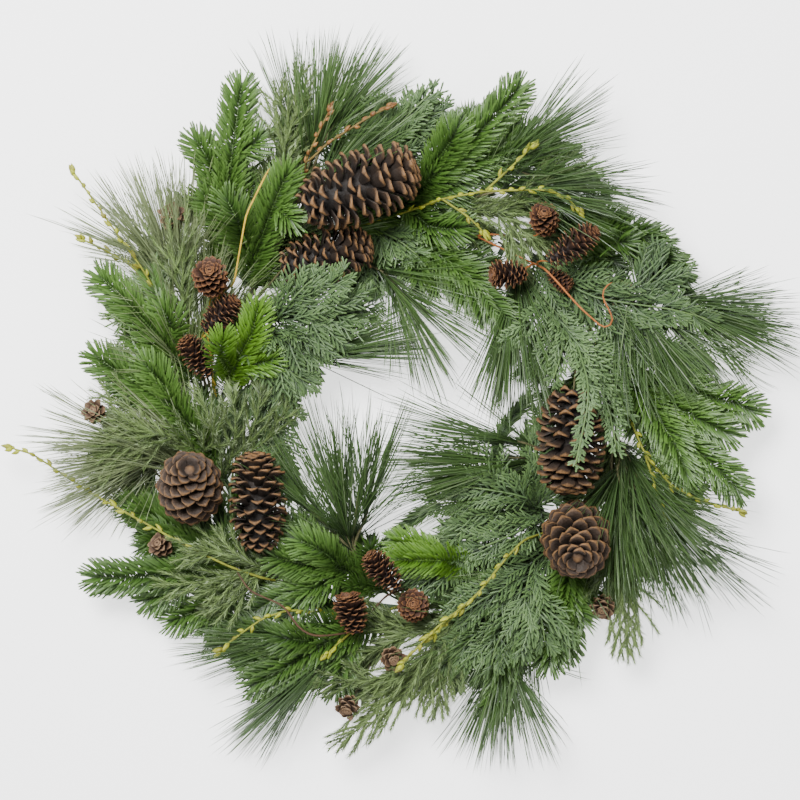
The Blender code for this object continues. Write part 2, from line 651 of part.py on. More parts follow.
def layout():
    """Finds a clear line for every stem, cones first, then twigs, then the green."""
    lanes = lanes_of(CONE_PIECES + TWIGS + SPRAYS)
    placed = []
    for node, piece in enumerate(CONE_PIECES, start=1):
        for cone in piece[5]:
            set_cone(on_board(cone[2]), on_board(cone[3]), cone[4], node, node)
    for node, piece in enumerate(CONE_PIECES, start=1):
        rng = random.Random(piece[0])
        cone = None
        for side in piece[5]:
            if side[0] is None:
                cone = (on_board(side[2]), on_board(side[3]), side[4])
        shoot = grow_main(piece, lanes[piece[0]], node, node, rng, cone)
        shoot.cone = cone
        for spot, _, points in piece[4]:
            grow_side(shoot, spot, points, (1.0, TIP_HALF), node, node, rng)
        for side in piece[5]:
            if side[0] is None:
                continue
            cone = (on_board(side[2]), on_board(side[3]), side[4])
            kid = grow_side(shoot, side[0], side[1], (1.1, 1.1), node, node, rng, cone)
            kid.cone = cone
        placed.append((node, piece, rng, shoot))
    greens = []
    numbers = itertools.count(FIRST_GREEN_STEM)
    for node, piece in enumerate(TWIGS + SPRAYS, start=len(CONE_PIECES) + 1):
        rng = random.Random(piece[0])
        shoot = grow_main(piece, lanes[piece[0]], node, next(numbers), rng)
        shoot.foliage = piece[1]
        greens.append((node, piece, rng, shoot))
    for node, piece, rng, shoot in greens:
        for spot, kind, points in piece[4]:
            kid = grow_side(shoot, spot, points, (1.1, TIP_HALF), node, next(numbers), rng)
            kid.foliage = kind
    return placed, greens


class Tip:
    """The open end of a growing body: its face, and which corner of the cross-section each point is."""

    def __init__(self, face, corners):
        self.face = face
        self.corners = corners


def pull(bm, tip, place, side, up, half_side, half_up):
    """Pulls the end face out to a new cross-section. It gives the four new side faces."""
    old = [(v, tip.corners[v]) for v in tip.face.verts]
    made = bmesh.ops.extrude_discrete_faces(bm, faces=[tip.face])["faces"][0]
    corners = {}
    pairs = []
    for v, signs in old:
        new = min(made.verts, key=lambda w: (w.co - v.co).length_squared)
        pairs.append((v, new, signs))
        corners[new] = signs
    for v, new, (a, b) in pairs:
        new.co = place + side * (a * half_side) + up * (b * half_up)
    sides = []
    for (v, new, one), (w, other, two) in zip(pairs, pairs[1:] + pairs[:1]):
        face = bm.faces.get((v, w, other, new))
        if one[0] == two[0]:
            out, across, turn = side * one[0], up, (1, 0)
        else:
            out, across, turn = up * one[1], side, (0, 1)
        sides.append((face, out, across, {v: one, w: two, new: one, other: two}, turn))
    return Tip(made, corners), sides


def first_piece(bm, lane, half):
    """The straight length of stem held in the clamp."""
    back, ahead, way, out = lane
    up = np.cross(way, out)
    made = bmesh.ops.create_cube(bm, size=2.0)["verts"]
    signs = {v: tuple(round(c) for c in v.co) for v in made}
    face = [f for f in bm.faces if all(signs[v][2] > 0 for v in f.verts)][0]
    for v, (a, b, c) in signs.items():
        place = ahead if c > 0 else back
        v.co = place + out * (a * half) + up * (b * half)
    return Tip(face, {v: signs[v][:2] for v in face.verts})


def spike(bm, face, point):
    """Raises the middle of a face to a point."""
    bmesh.ops.poke(bm, faces=[face])["verts"][0].co = point


def marks_along(shoot, style):
    """Where along a stem the short pieces for whorls and side shoots come."""
    marks = [(s, KID_HALF, "kid") for s, _, _ in shoot.kids]
    first = 0.0
    if shoot.foliage == "pine":
        first = shoot.length - PINE_TUFT
    elif shoot.lane is not None:
        first = max(LANE_ZONE, shoot.length * style["bare"])
    first = max(first, 7.0)
    s = shoot.length - 2.5
    while s > first:
        if all(abs(s - mark[0]) > mark[1] + WHORL_HALF + 1.2 for mark in marks):
            marks.append((s, WHORL_HALF, "whorl"))
        s -= style["pitch"]
    return sorted(marks)


def plain_stops(shoot, first, last):
    """Where a plain stretch of stem needs a new cross-section: at each bend, and at its end."""
    bends = [s for s in shoot.at_length if first + 2.0 < s < last - 2.0]
    return bends + [last]


def build_shoot(bm, tip, shoot, jobs, whorls):
    """Pulls a body out along the line of a stem, and notes its side shoots and whorls."""
    style = FOLIAGE[shoot.foliage]
    kids = {round(s, 6): (kid, out) for s, kid, out in shoot.kids}
    s = 0.0
    for middle, half, kind in marks_along(shoot, style):
        for stop in plain_stops(shoot, s, middle - half):
            place, way, side, up = shoot.at(stop)
            wide = shoot.half(stop)
            tip, _ = pull(bm, tip, place, side, up, wide, wide)
        s = middle + half
        place, way, side, up = shoot.at(s)
        wide = shoot.half(s)
        tip, sides = pull(bm, tip, place, side, up, wide, wide)
        if kind == "kid":
            kid, out = kids[round(middle, 6)]
            chosen = max(sides, key=lambda item: float(item[1] @ out))
            jobs.append((kid, chosen, way))
        else:
            whorls.append((sides, way, middle / shoot.length, shoot))
    for stop in plain_stops(shoot, s, shoot.length) if shoot.length - s > 0.6 else []:
        place, way, side, up = shoot.at(stop)
        wide = shoot.half(stop)
        tip, _ = pull(bm, tip, place, side, up, wide, wide)
    return tip, shoot.at(shoot.length)[1]


def kid_tip(chosen, kid, way):
    """The face of the parent stem that a side shoot starts from, with its corners named."""
    face, out, across, signs, turn = chosen
    up = kid.at(0.0)[3]
    middle = np.mean([np.array(v.co) for v in face.verts], axis=0)
    corners = {}
    for v in face.verts:
        away = np.array(v.co) - middle
        a = 1 if away @ way > 0 else -1
        b = 1 if (away @ across) * (up @ across) > 0 else -1
        corners[v] = (a, b)
    return Tip(face, corners)


def needle_room(p, q, rp, node, own_needles=True):
    """How much room a needle has to what is placed. Its own piece is left out near its foot."""
    near = rods.near(p, q, 3.0)
    own = near & (rods.node[: rods.count] == node)
    others = near & ~own
    room = rods.room(p, q, rp, 0.15, others)
    if not own_needles:
        own &= rods.shoot[: rods.count] != NEEDLE
    if own.any():
        way = unit(q - p)
        room = min(room, rods.room(p + way * 3.5, q, rp * 0.8, 0.15, own) + CLEAR - OWN_CLEAR)
    return room


def aim(way, out, across, lean, swing):
    """A direction that leans away from a stem, swung a little round it."""
    sideways = out * math.cos(swing) + across * math.sin(swing)
    return unit(way * math.cos(lean) + sideways * math.sin(lean))


def grow_needle(bm, side_face, way, share, shoot, node, rng):
    """Grows one needle from one side of a whorl, aiming it again until it has room."""
    face, out, across, _, _ = side_face
    style = FOLIAGE[shoot.foliage]
    foot = np.mean([np.array(v.co) for v in face.verts], axis=0)
    first, last = style["lean"]
    reach = style["long"] * rng.uniform(0.88, 1.06)
    thick = 0.9 * math.hypot(WHORL_HALF, shoot.half(share * shoot.length))
    for attempt in range(NEEDLE_TRIES):
        loose = attempt * NEEDLE_DRIFT
        lean = math.radians(first + (last - first) * share) + rng.uniform(-1, 1) * loose
        swing = rng.uniform(-1, 1) * (0.12 + loose)
        long = reach * (1.0 - 0.018 * attempt)
        point = foot + aim(way, out, across, max(lean, 0.06), swing) * long
        if point[2] < LOWEST:
            continue
        if needle_room(foot, point, thick, node) > CLEAR:
            spike(bm, face, point)
            rods.add(foot, point, thick, 0.1, node, NEEDLE)
            return


def grow_fork(bm, side_face, way, share, shoot, node, rng):
    """Grows one three-pointed scaly twig from one side of a flat spray."""
    face, out, across, _, _ = side_face
    style = FOLIAGE[shoot.foliage]
    foot = np.mean([np.array(v.co) for v in face.verts], axis=0)
    first, last = style["lean"]
    for attempt in range(FORK_TRIES):
        loose = attempt * FORK_DRIFT
        lean = math.radians(first + (last - first) * share) + rng.uniform(-1, 1) * loose
        swing = rng.uniform(-1, 1) * (0.10 + loose)
        long = style["long"] * rng.uniform(0.85, 1.1) * (1.0 - 0.02 * attempt)
        line = aim(way, out, across, lean, swing)
        stem_end = foot + line * long * 0.5
        point = foot + line * long
        if min(point[2], stem_end[2]) < LOWEST + 1:
            continue
        if needle_room(foot, point, 1.3, node) < CLEAR:
            continue
        side = square_to(way, line)
        up = np.cross(line, side)
        if up @ across < 0:
            up = -up
        corners = {}
        for v in face.verts:
            away = np.array(v.co) - foot
            corners[v] = (1 if away @ way > 0 else -1, 1 if away @ across > 0 else -1)
        tip = Tip(face, corners)
        tip, tines = pull(bm, tip, stem_end, side, up, 0.9, 0.6)
        rods.add(foot, point, 1.2, 0.1, node, NEEDLE)
        for tine, sideways, _, _, _ in tines:
            if abs(sideways @ side) < 0.5:
                continue
            root = foot + line * long * 0.42
            end = foot + line * long * 0.62 + sideways * long * 0.34
            rooms = (needle_room(start, end, 0.9, node, False) for start in (root, foot))
            if end[2] > LOWEST and min(rooms) > CLEAR:
                spike(bm, tine, end)
                rods.add(root, end, 0.9, 0.1, node, NEEDLE)
                rods.add(foot, end, 0.9, 0.1, node, NEEDLE)
        spike(bm, tip.face, point)
        return


def bridge(bm, first, second):
    """Joins two rings of points of different counts, both in the same order, with triangles."""
    i = j = 0
    while i < len(first) or j < len(second):
        a = first[i % len(first)]
        b = second[j % len(second)]
        if j * len(first) <= i * len(second) and j < len(second):
            bm.faces.new((a, b, second[(j + 1) % len(second)]))
            j += 1
        else:
            bm.faces.new((a, b, first[(i + 1) % len(first)]))
            i += 1


def grow_cone(bm, tip, cone, style):
    """Turns the end of a stem into a cone: a lattice of diamond cells, each raised into a scale."""
    base, point, radius = cone
    axis = point - base
    length = np.linalg.norm(axis)
    axis = axis / length
    loop = list(tip.face.verts)
    start = np.array(loop[0].co) - np.mean([np.array(v.co) for v in loop], axis=0)
    side = square_to(start, axis)
    second = np.array(loop[1].co) - np.mean([np.array(v.co) for v in loop], axis=0)
    up = np.cross(axis, side)
    if up @ second < 0:
        up = -up
    bmesh.ops.delete(bm, geom=[tip.face], context="FACES_ONLY")
    around = style["around"]
    rows = style["rows"]

    def spot(row, turn, out, along=0.0):
        angle = turn * 2 * math.pi / around
        share = row / rows
        sideways = side * math.cos(angle) + up * math.sin(angle)
        return base + axis * (share * length * 0.94 + along) + sideways * out

    grid = []
    for row in range(rows + 1):
        out = style["core"] * cone_profile(row / rows, radius) * (0.75 if row in (0, rows) else 1.0)
        turned = 0.5 * (row % 2)
        grid.append([bm.verts.new(spot(row, i + turned, out)) for i in range(around)])
    bridge(bm, loop, grid[0])
    for i in range(around):
        bm.faces.new((grid[0][i], grid[0][(i + 1) % around], grid[1][i]))
    for row in range(rows - 1):
        turned = row % 2
        for i in range(around):
            low = grid[row][i]
            high = grid[row + 2][i]
            left = grid[row + 1][(i - 1 + turned) % around]
            right = grid[row + 1][(i + turned) % around]
            reach = cone_profile((row + 1) / rows, radius)
            middle = i + 0.5 * turned
            rise = style["lift"] * radius
            if style["lip"]:
                one = bm.verts.new(spot(row + 1, middle - style["lip"], reach, rise))
                two = bm.verts.new(spot(row + 1, middle + style["lip"], reach, rise))
                bm.faces.new((left, low, one))
                bm.faces.new((low, right, two, one))
                bm.faces.new((right, high, two))
                bm.faces.new((high, left, one, two))
            else:
                face = bm.faces.new((low, right, high, left))
                spike(bm, face, spot(row + 1, middle, reach, rise))
    last = grid[rows]
    before = grid[rows - 1]
    for i in range(around):
        after = (i + 1) % around
        low = before[i] if rows % 2 == 0 else before[after]
        bm.faces.new((last[after], last[i], low))
    end = bm.verts.new(base + axis * length)
    for i in range(around):
        bm.faces.new((last[i], last[(i + 1) % around], end))


def close_end(bm, tip, way, style, node):
    """Ends a stem in a spike, as long as there is room for."""
    middle = np.mean([np.array(v.co) for v in tip.face.verts], axis=0)
    for attempt in range(END_TRIES):
        long = max(style["end"] * (1.0 - 0.08 * attempt), 1.6)
        point = middle + way * long
        if point[2] > LOWEST and needle_room(middle, point, 0.9, node, False) > CLEAR * 0.8:
            break
    else:
        point = middle + way * 1.6
    spike(bm, tip.face, point)
    rods.add(middle, point, 0.9, 0.1, node, NEEDLE)


def build_body(shoot):
    """The stems of one piece as one closed body. Needles are grown later."""
    bm = bmesh.new()
    tip = first_piece(bm, shoot.lane, STEM_HALF)
    jobs = []
    whorls = []
    ends = []
    tip, way = build_shoot(bm, tip, shoot, jobs, whorls)
    ends.append((tip, way, shoot))
    while jobs:
        kid, chosen, parent_way = jobs.pop(0)
        tip = kid_tip(chosen, kid, parent_way)
        tip, way = build_shoot(bm, tip, kid, jobs, whorls)
        ends.append((tip, way, kid))
    return bm, whorls, ends


def colour_of(kind):
    """The plain paint of a piece."""
    name = SLOTS[kind]
    paint = bpy.data.materials.get(name)
    if paint is None:
        paint = bpy.data.materials.new(name)
        paint.use_nodes = True
        shader = paint.node_tree.nodes["Principled BSDF"]
        colour, rough, metal = COLOURS[kind]
        shader.inputs["Base Color"].default_value = (*colour, 1.0)
        shader.inputs["Roughness"].default_value = rough
        shader.inputs["Metallic"].default_value = metal
    return paint


def finish(name, bm, kind):
    """Turns a finished body into an object, in metres."""
    bmesh.ops.recalc_face_normals(bm, faces=bm.faces[:])
    if bm.calc_volume(signed=True) < 0:
        bmesh.ops.reverse_faces(bm, faces=bm.faces[:])
    bmesh.ops.scale(bm, vec=(MM, MM, MM), verts=bm.verts[:])
    mesh = bpy.data.meshes.new(name)
    bm.to_mesh(mesh)
    bm.free()
    mesh.materials.append(colour_of(OWN_PAINT.get(name, kind)))
    bpy.context.scene.collection.objects.link(bpy.data.objects.new(name, mesh))


def build_frame():
    """The wire ring with a flat underside, and two prongs at each clamp bent up over the stems."""
    bm = bmesh.new()
    half = math.degrees(CLAMP_HALF / RING_RADIUS)
    stride = 360.0 / CLAMPS
    stops = []
    for k in range(CLAMPS):
        stops.append(k * stride - half)
        stops.append(k * stride + half)
        for j in range(1, GAP_PIECES):
            stops.append(k * stride + half + (stride - 2 * half) * j / GAP_PIECES)
    rings = []
    for clock in stops:
        centre, way, out = clamp_axes(clock)
        ring = []
        for i in range(WIRE_SIDES):
            angle = 2 * math.pi * i / WIRE_SIDES
            place = centre + out * (WIRE_RADIUS * math.cos(angle))
            place[2] = WIRE_RISE + WIRE_RADIUS * math.sin(angle)
            ring.append(bm.verts.new(place))
        rings.append(ring)
    clamp_faces = []
    for n, (one, two) in enumerate(zip(rings, rings[1:] + rings[:1])):
        centre, way, out = clamp_axes(stops[n])
        for i in range(WIRE_SIDES):
            j = (i + 1) % WIRE_SIDES
            face = bm.faces.new((one[i], one[j], two[j], two[i]))
            if n % (GAP_PIECES + 1) == 0 and i in (0, 2):
                clamp_faces.append((face, n // (GAP_PIECES + 1) * stride, 1 if i == 0 else -1))
    for face, clock, sign in clamp_faces:
        centre, way, out = clamp_axes(clock)
        corners = {}
        middle = np.mean([np.array(v.co) for v in face.verts], axis=0)
        for v in face.verts:
            away = np.array(v.co) - middle
            corners[v] = (1 if away @ way > 0 else -1, 1 if away[2] > 0 else -1)
        tip = Tip(face, corners)
        last = centre + out * (sign * WIRE_RADIUS)
        last[2] = WIRE_RISE + 1.0
        for away, rise, tilt in PRONG_LINE:
            angle = math.radians(tilt)
            place = centre + out * (sign * away)
            place[2] = rise
            up = np.array([0, 0, 1.0]) * math.cos(angle) - out * (sign * math.sin(angle))
            tip, _ = pull(bm, tip, place, way, up, CLAMP_HALF, PRONG_THICK)
            for shift in PRONG_ROD_SHIFTS:
                one = last + way * shift
                rods.add(one, place + way * shift, PRONG_ROD, PRONG_ROD, FRAME, NO_STEM)
            last = place
    for clock in range(0, 360, RING_ROD_STEP):
        one = clamp_axes(clock)[0]
        two = clamp_axes(clock + RING_ROD_STEP)[0]
        one[2] = two[2] = WIRE_RISE
        rods.add(one, two, WIRE_RADIUS, WIRE_RADIUS, FRAME, NO_STEM)
    finish("wire_frame", bm, "wire")


def main():
    for obj in list(bpy.data.objects):
        bpy.data.objects.remove(obj)
    build_frame()
    placed, greens = layout()
    for node, piece, rng, shoot in placed:
        bm, _, ends = build_body(shoot)
        for tip, way, end in ends:
            if end.cone:
                grow_cone(bm, tip, end.cone, CONES[piece[1]])
            else:
                close_end(bm, tip, way, FOLIAGE["bare"], node)
        finish(piece[0], bm, piece[1])
    bodies = []
    for node, piece, rng, shoot in greens:
        bm, whorls, ends = build_body(shoot)
        for tip, way, end in ends:
            close_end(bm, tip, way, FOLIAGE[end.foliage], node)
        bodies.append((node, piece, rng, bm, whorls))
    for node, piece, rng, bm, whorls in bodies:
        for count, (sides, way, share, shoot) in enumerate(whorls):
            grow, chosen = grow_needle, sides
            if shoot.foliage == "cedar":
                grow = grow_fork
                chosen = sorted(sides, key=lambda item: abs(item[1][2]))[:2]
            elif shoot.foliage == "catkin":
                chosen = [sides[count % 4]]
            for side_face in chosen:
                grow(bm, side_face, way, share, shoot, node, rng)
        finish(piece[0], bm, piece[1])


main()
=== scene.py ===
"""The wreath's finish: dense needles, scales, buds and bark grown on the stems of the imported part."""

import collections
import itertools
import math
import random

import bpy
import numpy as np
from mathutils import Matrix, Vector


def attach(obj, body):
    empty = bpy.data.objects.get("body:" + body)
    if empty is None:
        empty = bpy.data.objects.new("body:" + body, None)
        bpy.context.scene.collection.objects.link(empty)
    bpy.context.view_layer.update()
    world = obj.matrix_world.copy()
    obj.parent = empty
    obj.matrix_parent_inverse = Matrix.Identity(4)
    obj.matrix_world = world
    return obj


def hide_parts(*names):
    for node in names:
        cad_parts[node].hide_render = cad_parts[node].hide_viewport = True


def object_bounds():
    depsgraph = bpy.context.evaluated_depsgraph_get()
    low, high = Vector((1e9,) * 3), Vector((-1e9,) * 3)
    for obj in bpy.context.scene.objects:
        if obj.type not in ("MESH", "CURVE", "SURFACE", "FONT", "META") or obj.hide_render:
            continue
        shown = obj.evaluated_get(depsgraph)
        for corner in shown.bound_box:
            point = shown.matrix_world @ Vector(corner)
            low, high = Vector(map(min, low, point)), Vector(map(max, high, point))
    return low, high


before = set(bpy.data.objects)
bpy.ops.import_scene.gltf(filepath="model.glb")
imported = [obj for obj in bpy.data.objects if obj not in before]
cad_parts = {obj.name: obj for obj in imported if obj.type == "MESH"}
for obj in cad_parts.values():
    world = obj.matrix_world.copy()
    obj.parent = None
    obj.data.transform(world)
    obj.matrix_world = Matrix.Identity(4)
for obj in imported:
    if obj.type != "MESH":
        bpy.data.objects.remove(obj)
cad_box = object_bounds()

# Everything is worked out in millimetres and turned into metres when a mesh is made.
MM = 0.001

# The wreath is laid out on a square board: x from its left edge, y from its top edge, z above it.
BOARD_HALF = 400.0

# The wire ring and the clamps that hold the stems down on it.
RING_AT = (410.0, 410.0)
RING_RADIUS = 200.0
WIRE_RADIUS = 2.9
WIRE_RISE = WIRE_RADIUS * math.sin(math.pi / 3)
CLAMPS = 12
CLAMP_HALF = 3.0
PRONG_THICK = 0.8
# A prong's line: how far out from the wire's middle, and how high.
PRONG_LINE = [(17.6, 4.2), (19.4, 7.8), (15.6, 11.2)]
# The rods that stand for a prong side by side, and the step in degrees of those for the ring.
PRONG_ROD = 1.5
PRONG_ROD_SHIFTS = (0.0, -2.2, 2.2)
RING_ROD_STEP = 4

# Half the thickness of a main stem at its foot, of a side stem, of a tendril and of a thin tip.
STEM_HALF = 1.15
SIDE_HALF = 1.1
TENDRIL_HALF = 1.0
TIP_HALF = 0.7

# Stems lie side by side in a clamp, each just clear of its neighbour and of the ring.
LANE_PITCH = 4.15
LANE_RISE = 2 * WIRE_RISE + 0.3 + STEM_HALF
LEAST_OVER_WIRE = 1.0
LANE_BACK = 8.0
LANE_AHEAD = 8.0
LANE_ZONE = 34.0
LOWEST = 2.4
KNOT_RISE = 4.0

# The clearance of stems, how far off a rod is still looked at, the room kept round a cone, and how
# far the balls that stand for a cone may reach past its ends.
STEM_CLEAR = 0.25
NEAR = 4.0
CONE_MARGIN = 1.2
CONE_END = 4

# How often a line is tried, how much further its points may be moved at each try, and the share of
# that which its first and last point may move.
TRIES = 420
STEM_DRIFT = 0.05
FIRST_SHARE = 0.55
LAST_SHARE = 0.25

# Stems are square in section. A corner reaches this much further than a face.
CORNER = 1.42
# Lines: the length of a chord, how far it may leave the smooth line, and the length of a rod.
CHORD = 3.0
SAG = 1.8
PROBE = 8.0

# Side stems: half the length of stem that one takes, the gap to the next, the bare stem at either
# end, how far one stands out before it turns, and the stretch that may be close to its own piece.
KID_HALF = 1.2
KID_GAP = 1.5
KID_ENDS = (9.0, 5.0)
KID_LEAD = 2.5
KID_FOOT = 8.0

# A piece: name, foliage, clock position of its clamp in degrees, the line of its stem, its side stems
# as (where they leave, line), and its cones. A cone: where its stem leaves, or None at the end of the
# main one, that stem's line, and the cone's base, tip and radius.
Piece = collections.namedtuple("Piece", "name kind clock line sides cones", defaults=[()])
Cone = collections.namedtuple("Cone", "spot line base tip radius")

CONE_PIECES = [
    ("cone_top_upper", "large", 300, [(262, 268, 20), (286, 230, 48)], [],
     [(None, [], (306, 209, 76), (418, 167, 80), 39)]),
    ("cone_top_lower", "large", 300, [(262, 290, 22)], [],
     [(None, [], (283, 268, 46), (374, 243, 45), 29)]),
    ("cone_left_open", "large", 240, [(222, 506, 10), (204, 506, 14)], [],
     [(None, [], (190, 507, 30), (193, 465, 109), 34)]),
    ("cone_left_side", "large", 210, [(288, 572, 22), (268, 560, 44)], [],
     [(None, [], (260, 548, 60), (256, 450, 66), 30)]),
    ("cone_right_upper", "large", 60, [(581, 336, 22), (576, 366, 48)], [],
     [(None, [], (573, 391, 64), (568, 492, 70), 37)]),
    ("cone_right_lower", "large", 90, [(610, 450, 9), (598, 492, 10), (584, 512, 16)], [],
     [(None, [], (576, 520, 28), (575, 560, 108), 36)]),
    ("cone_pick_left", "small", 270,
     [(212, 388, 24), (212, 366, 32), (206, 342, 34), (210, 312, 34), (222, 292, 44),
      (234, 286, 66), (238, 268, 78), (243, 232, 80), (252, 203, 78), (271, 168, 70)], [],
     [((212, 384), [(216, 386, 44)], (211, 376, 58), (184, 338, 66), 16),
      ((206, 344), [(200, 341, 46)], (205, 331, 60), (238, 299, 72), 16),
      ((210, 310), [(208, 303, 46)], (214, 291, 58), (211, 271, 92), 19)]),
    ("cone_pick_top", "small", 0,
     [(455, 226, 20), (495, 244, 32), (522, 258, 36), (540, 266, 40)],
     [((530, 262), [(545, 270, 66), (563, 290, 76), (590, 320, 78), (605, 330, 79),
                    (613, 322, 80), (600, 300, 84), (601, 289, 85), (611, 283, 82)])],
     [(None, [], (549, 271, 46), (570, 288, 50), 11),
      ((526, 260), [(534, 262, 54)], (548, 262, 66), (598, 229, 78), 17),
      ((512, 252), [(530, 272, 44)], (526, 273, 52), (492, 275, 64), 16),
      ((500, 246), [(530, 238, 40)], (545, 231, 50), (543, 213, 80), 16)]),
    ("cone_pick_bottom", "small", 150,
     [(470, 590, 20), (436, 598, 26), (412, 590, 34), (392, 592, 36), (374, 608, 34),
      (352, 632, 38), (336, 634, 56), (318, 636, 66), (303, 631, 68), (286, 606, 70),
      (250, 590, 70), (237, 570, 66)], [],
     [((404, 589), [(402, 588, 54)], (398, 588, 70), (368, 553, 78), 16),
      ((430, 597), [(420, 610, 24)], (414, 612, 32), (413, 603, 62), 17),
      ((356, 628), [(362, 634, 50)], (357, 632, 60), (347, 595, 70), 18)]),
    ("cones_tiny_left", "tiny", 210, [(262, 566, 14), (205, 556, 20), (176, 553, 26)], [],
     [(None, [], (167, 551, 33), (157, 543, 50), 13),
      ((235, 560), [(170, 494, 18), (132, 444, 24), (106, 422, 31)], (99, 416, 35),
       (92, 410, 50), 13)]),
    ("cone_tiny_upper", "tiny", 270, [(196, 340, 22), (180, 280, 24), (174, 235, 30)], [],
     [(None, [], (173, 226, 34), (172, 211, 50), 15)]),
    ("cones_tiny_lower", "tiny", 180, [(384, 628, 18), (374, 660, 22), (358, 690, 28)], [],
     [(None, [], (352, 700, 33), (346, 711, 50), 13),
      ((378, 646), [(386, 652, 30)], (390, 655, 36), (394, 660, 54), 14)]),
    ("cone_tiny_right", "tiny", 90, [(612, 470, 12), (612, 540, 16), (608, 588, 24)], [],
     [(None, [], (606, 599, 29), (602, 612, 46), 14)]),
]

TWIGS = [
    ("twig_left_upper", "catkin", 270,
     [(186, 345, 20), (165, 305, 36), (150, 285, 46), (140, 265, 52), (120, 240, 55),
      (110, 222, 55), (92, 200, 52), (72, 170, 47)],
     [((152, 288), [(143, 279, 42), (133, 266, 43), (115, 255, 45), (80, 238, 42)])]),
    ("twig_left_lower", "catkin", 210,
     [(262, 578, 44), (205, 556, 50), (160, 534, 46), (118, 512, 42), (84, 489, 42),
      (58, 470, 42), (30, 456, 40), (8, 448, 36)], []),
    ("twig_top_right", "catkin", 330,
     [(355, 226, 10), (400, 213, 30), (440, 200, 62), (480, 193, 74), (520, 190, 77),
      (550, 192, 77), (566, 198, 75), (579, 213, 72)],
     [((480, 193), [(500, 180, 77), (512, 168, 77), (532, 147, 74)]),
      ((444, 200), [(465, 215, 70), (485, 235, 68)])]),
    ("twig_right", "catkin", 60,
     [(605, 362, 20), (630, 415, 42), (642, 450, 58), (655, 468, 62), (670, 485, 62),
      (690, 497, 60), (712, 503, 58), (742, 512, 53)],
     [((648, 460), [(655, 488, 58), (665, 514, 56)])]),
    ("twig_bottom", "catkin", 120,
     [(562, 528, 12), (520, 542, 62), (480, 590, 80), (440, 622, 82), (400, 665, 74)],
     [((468, 600), [(452, 616, 76), (430, 636, 74)])]),
    ("twig_bottom_left", "catkin", 180,
     [(370, 618, 14), (330, 614, 32), (285, 610, 60), (250, 625, 62), (220, 651, 57)],
     [((352, 616), [(345, 636, 44), (326, 656, 50)])]),
    ("twig_brown", "catkin", 330,
     [(306, 195, 20), (304, 166, 44), (312, 148, 58), (330, 110, 58)],
     [((306, 158), [(320, 150, 60), (355, 125, 62), (390, 107, 58)])]),
]

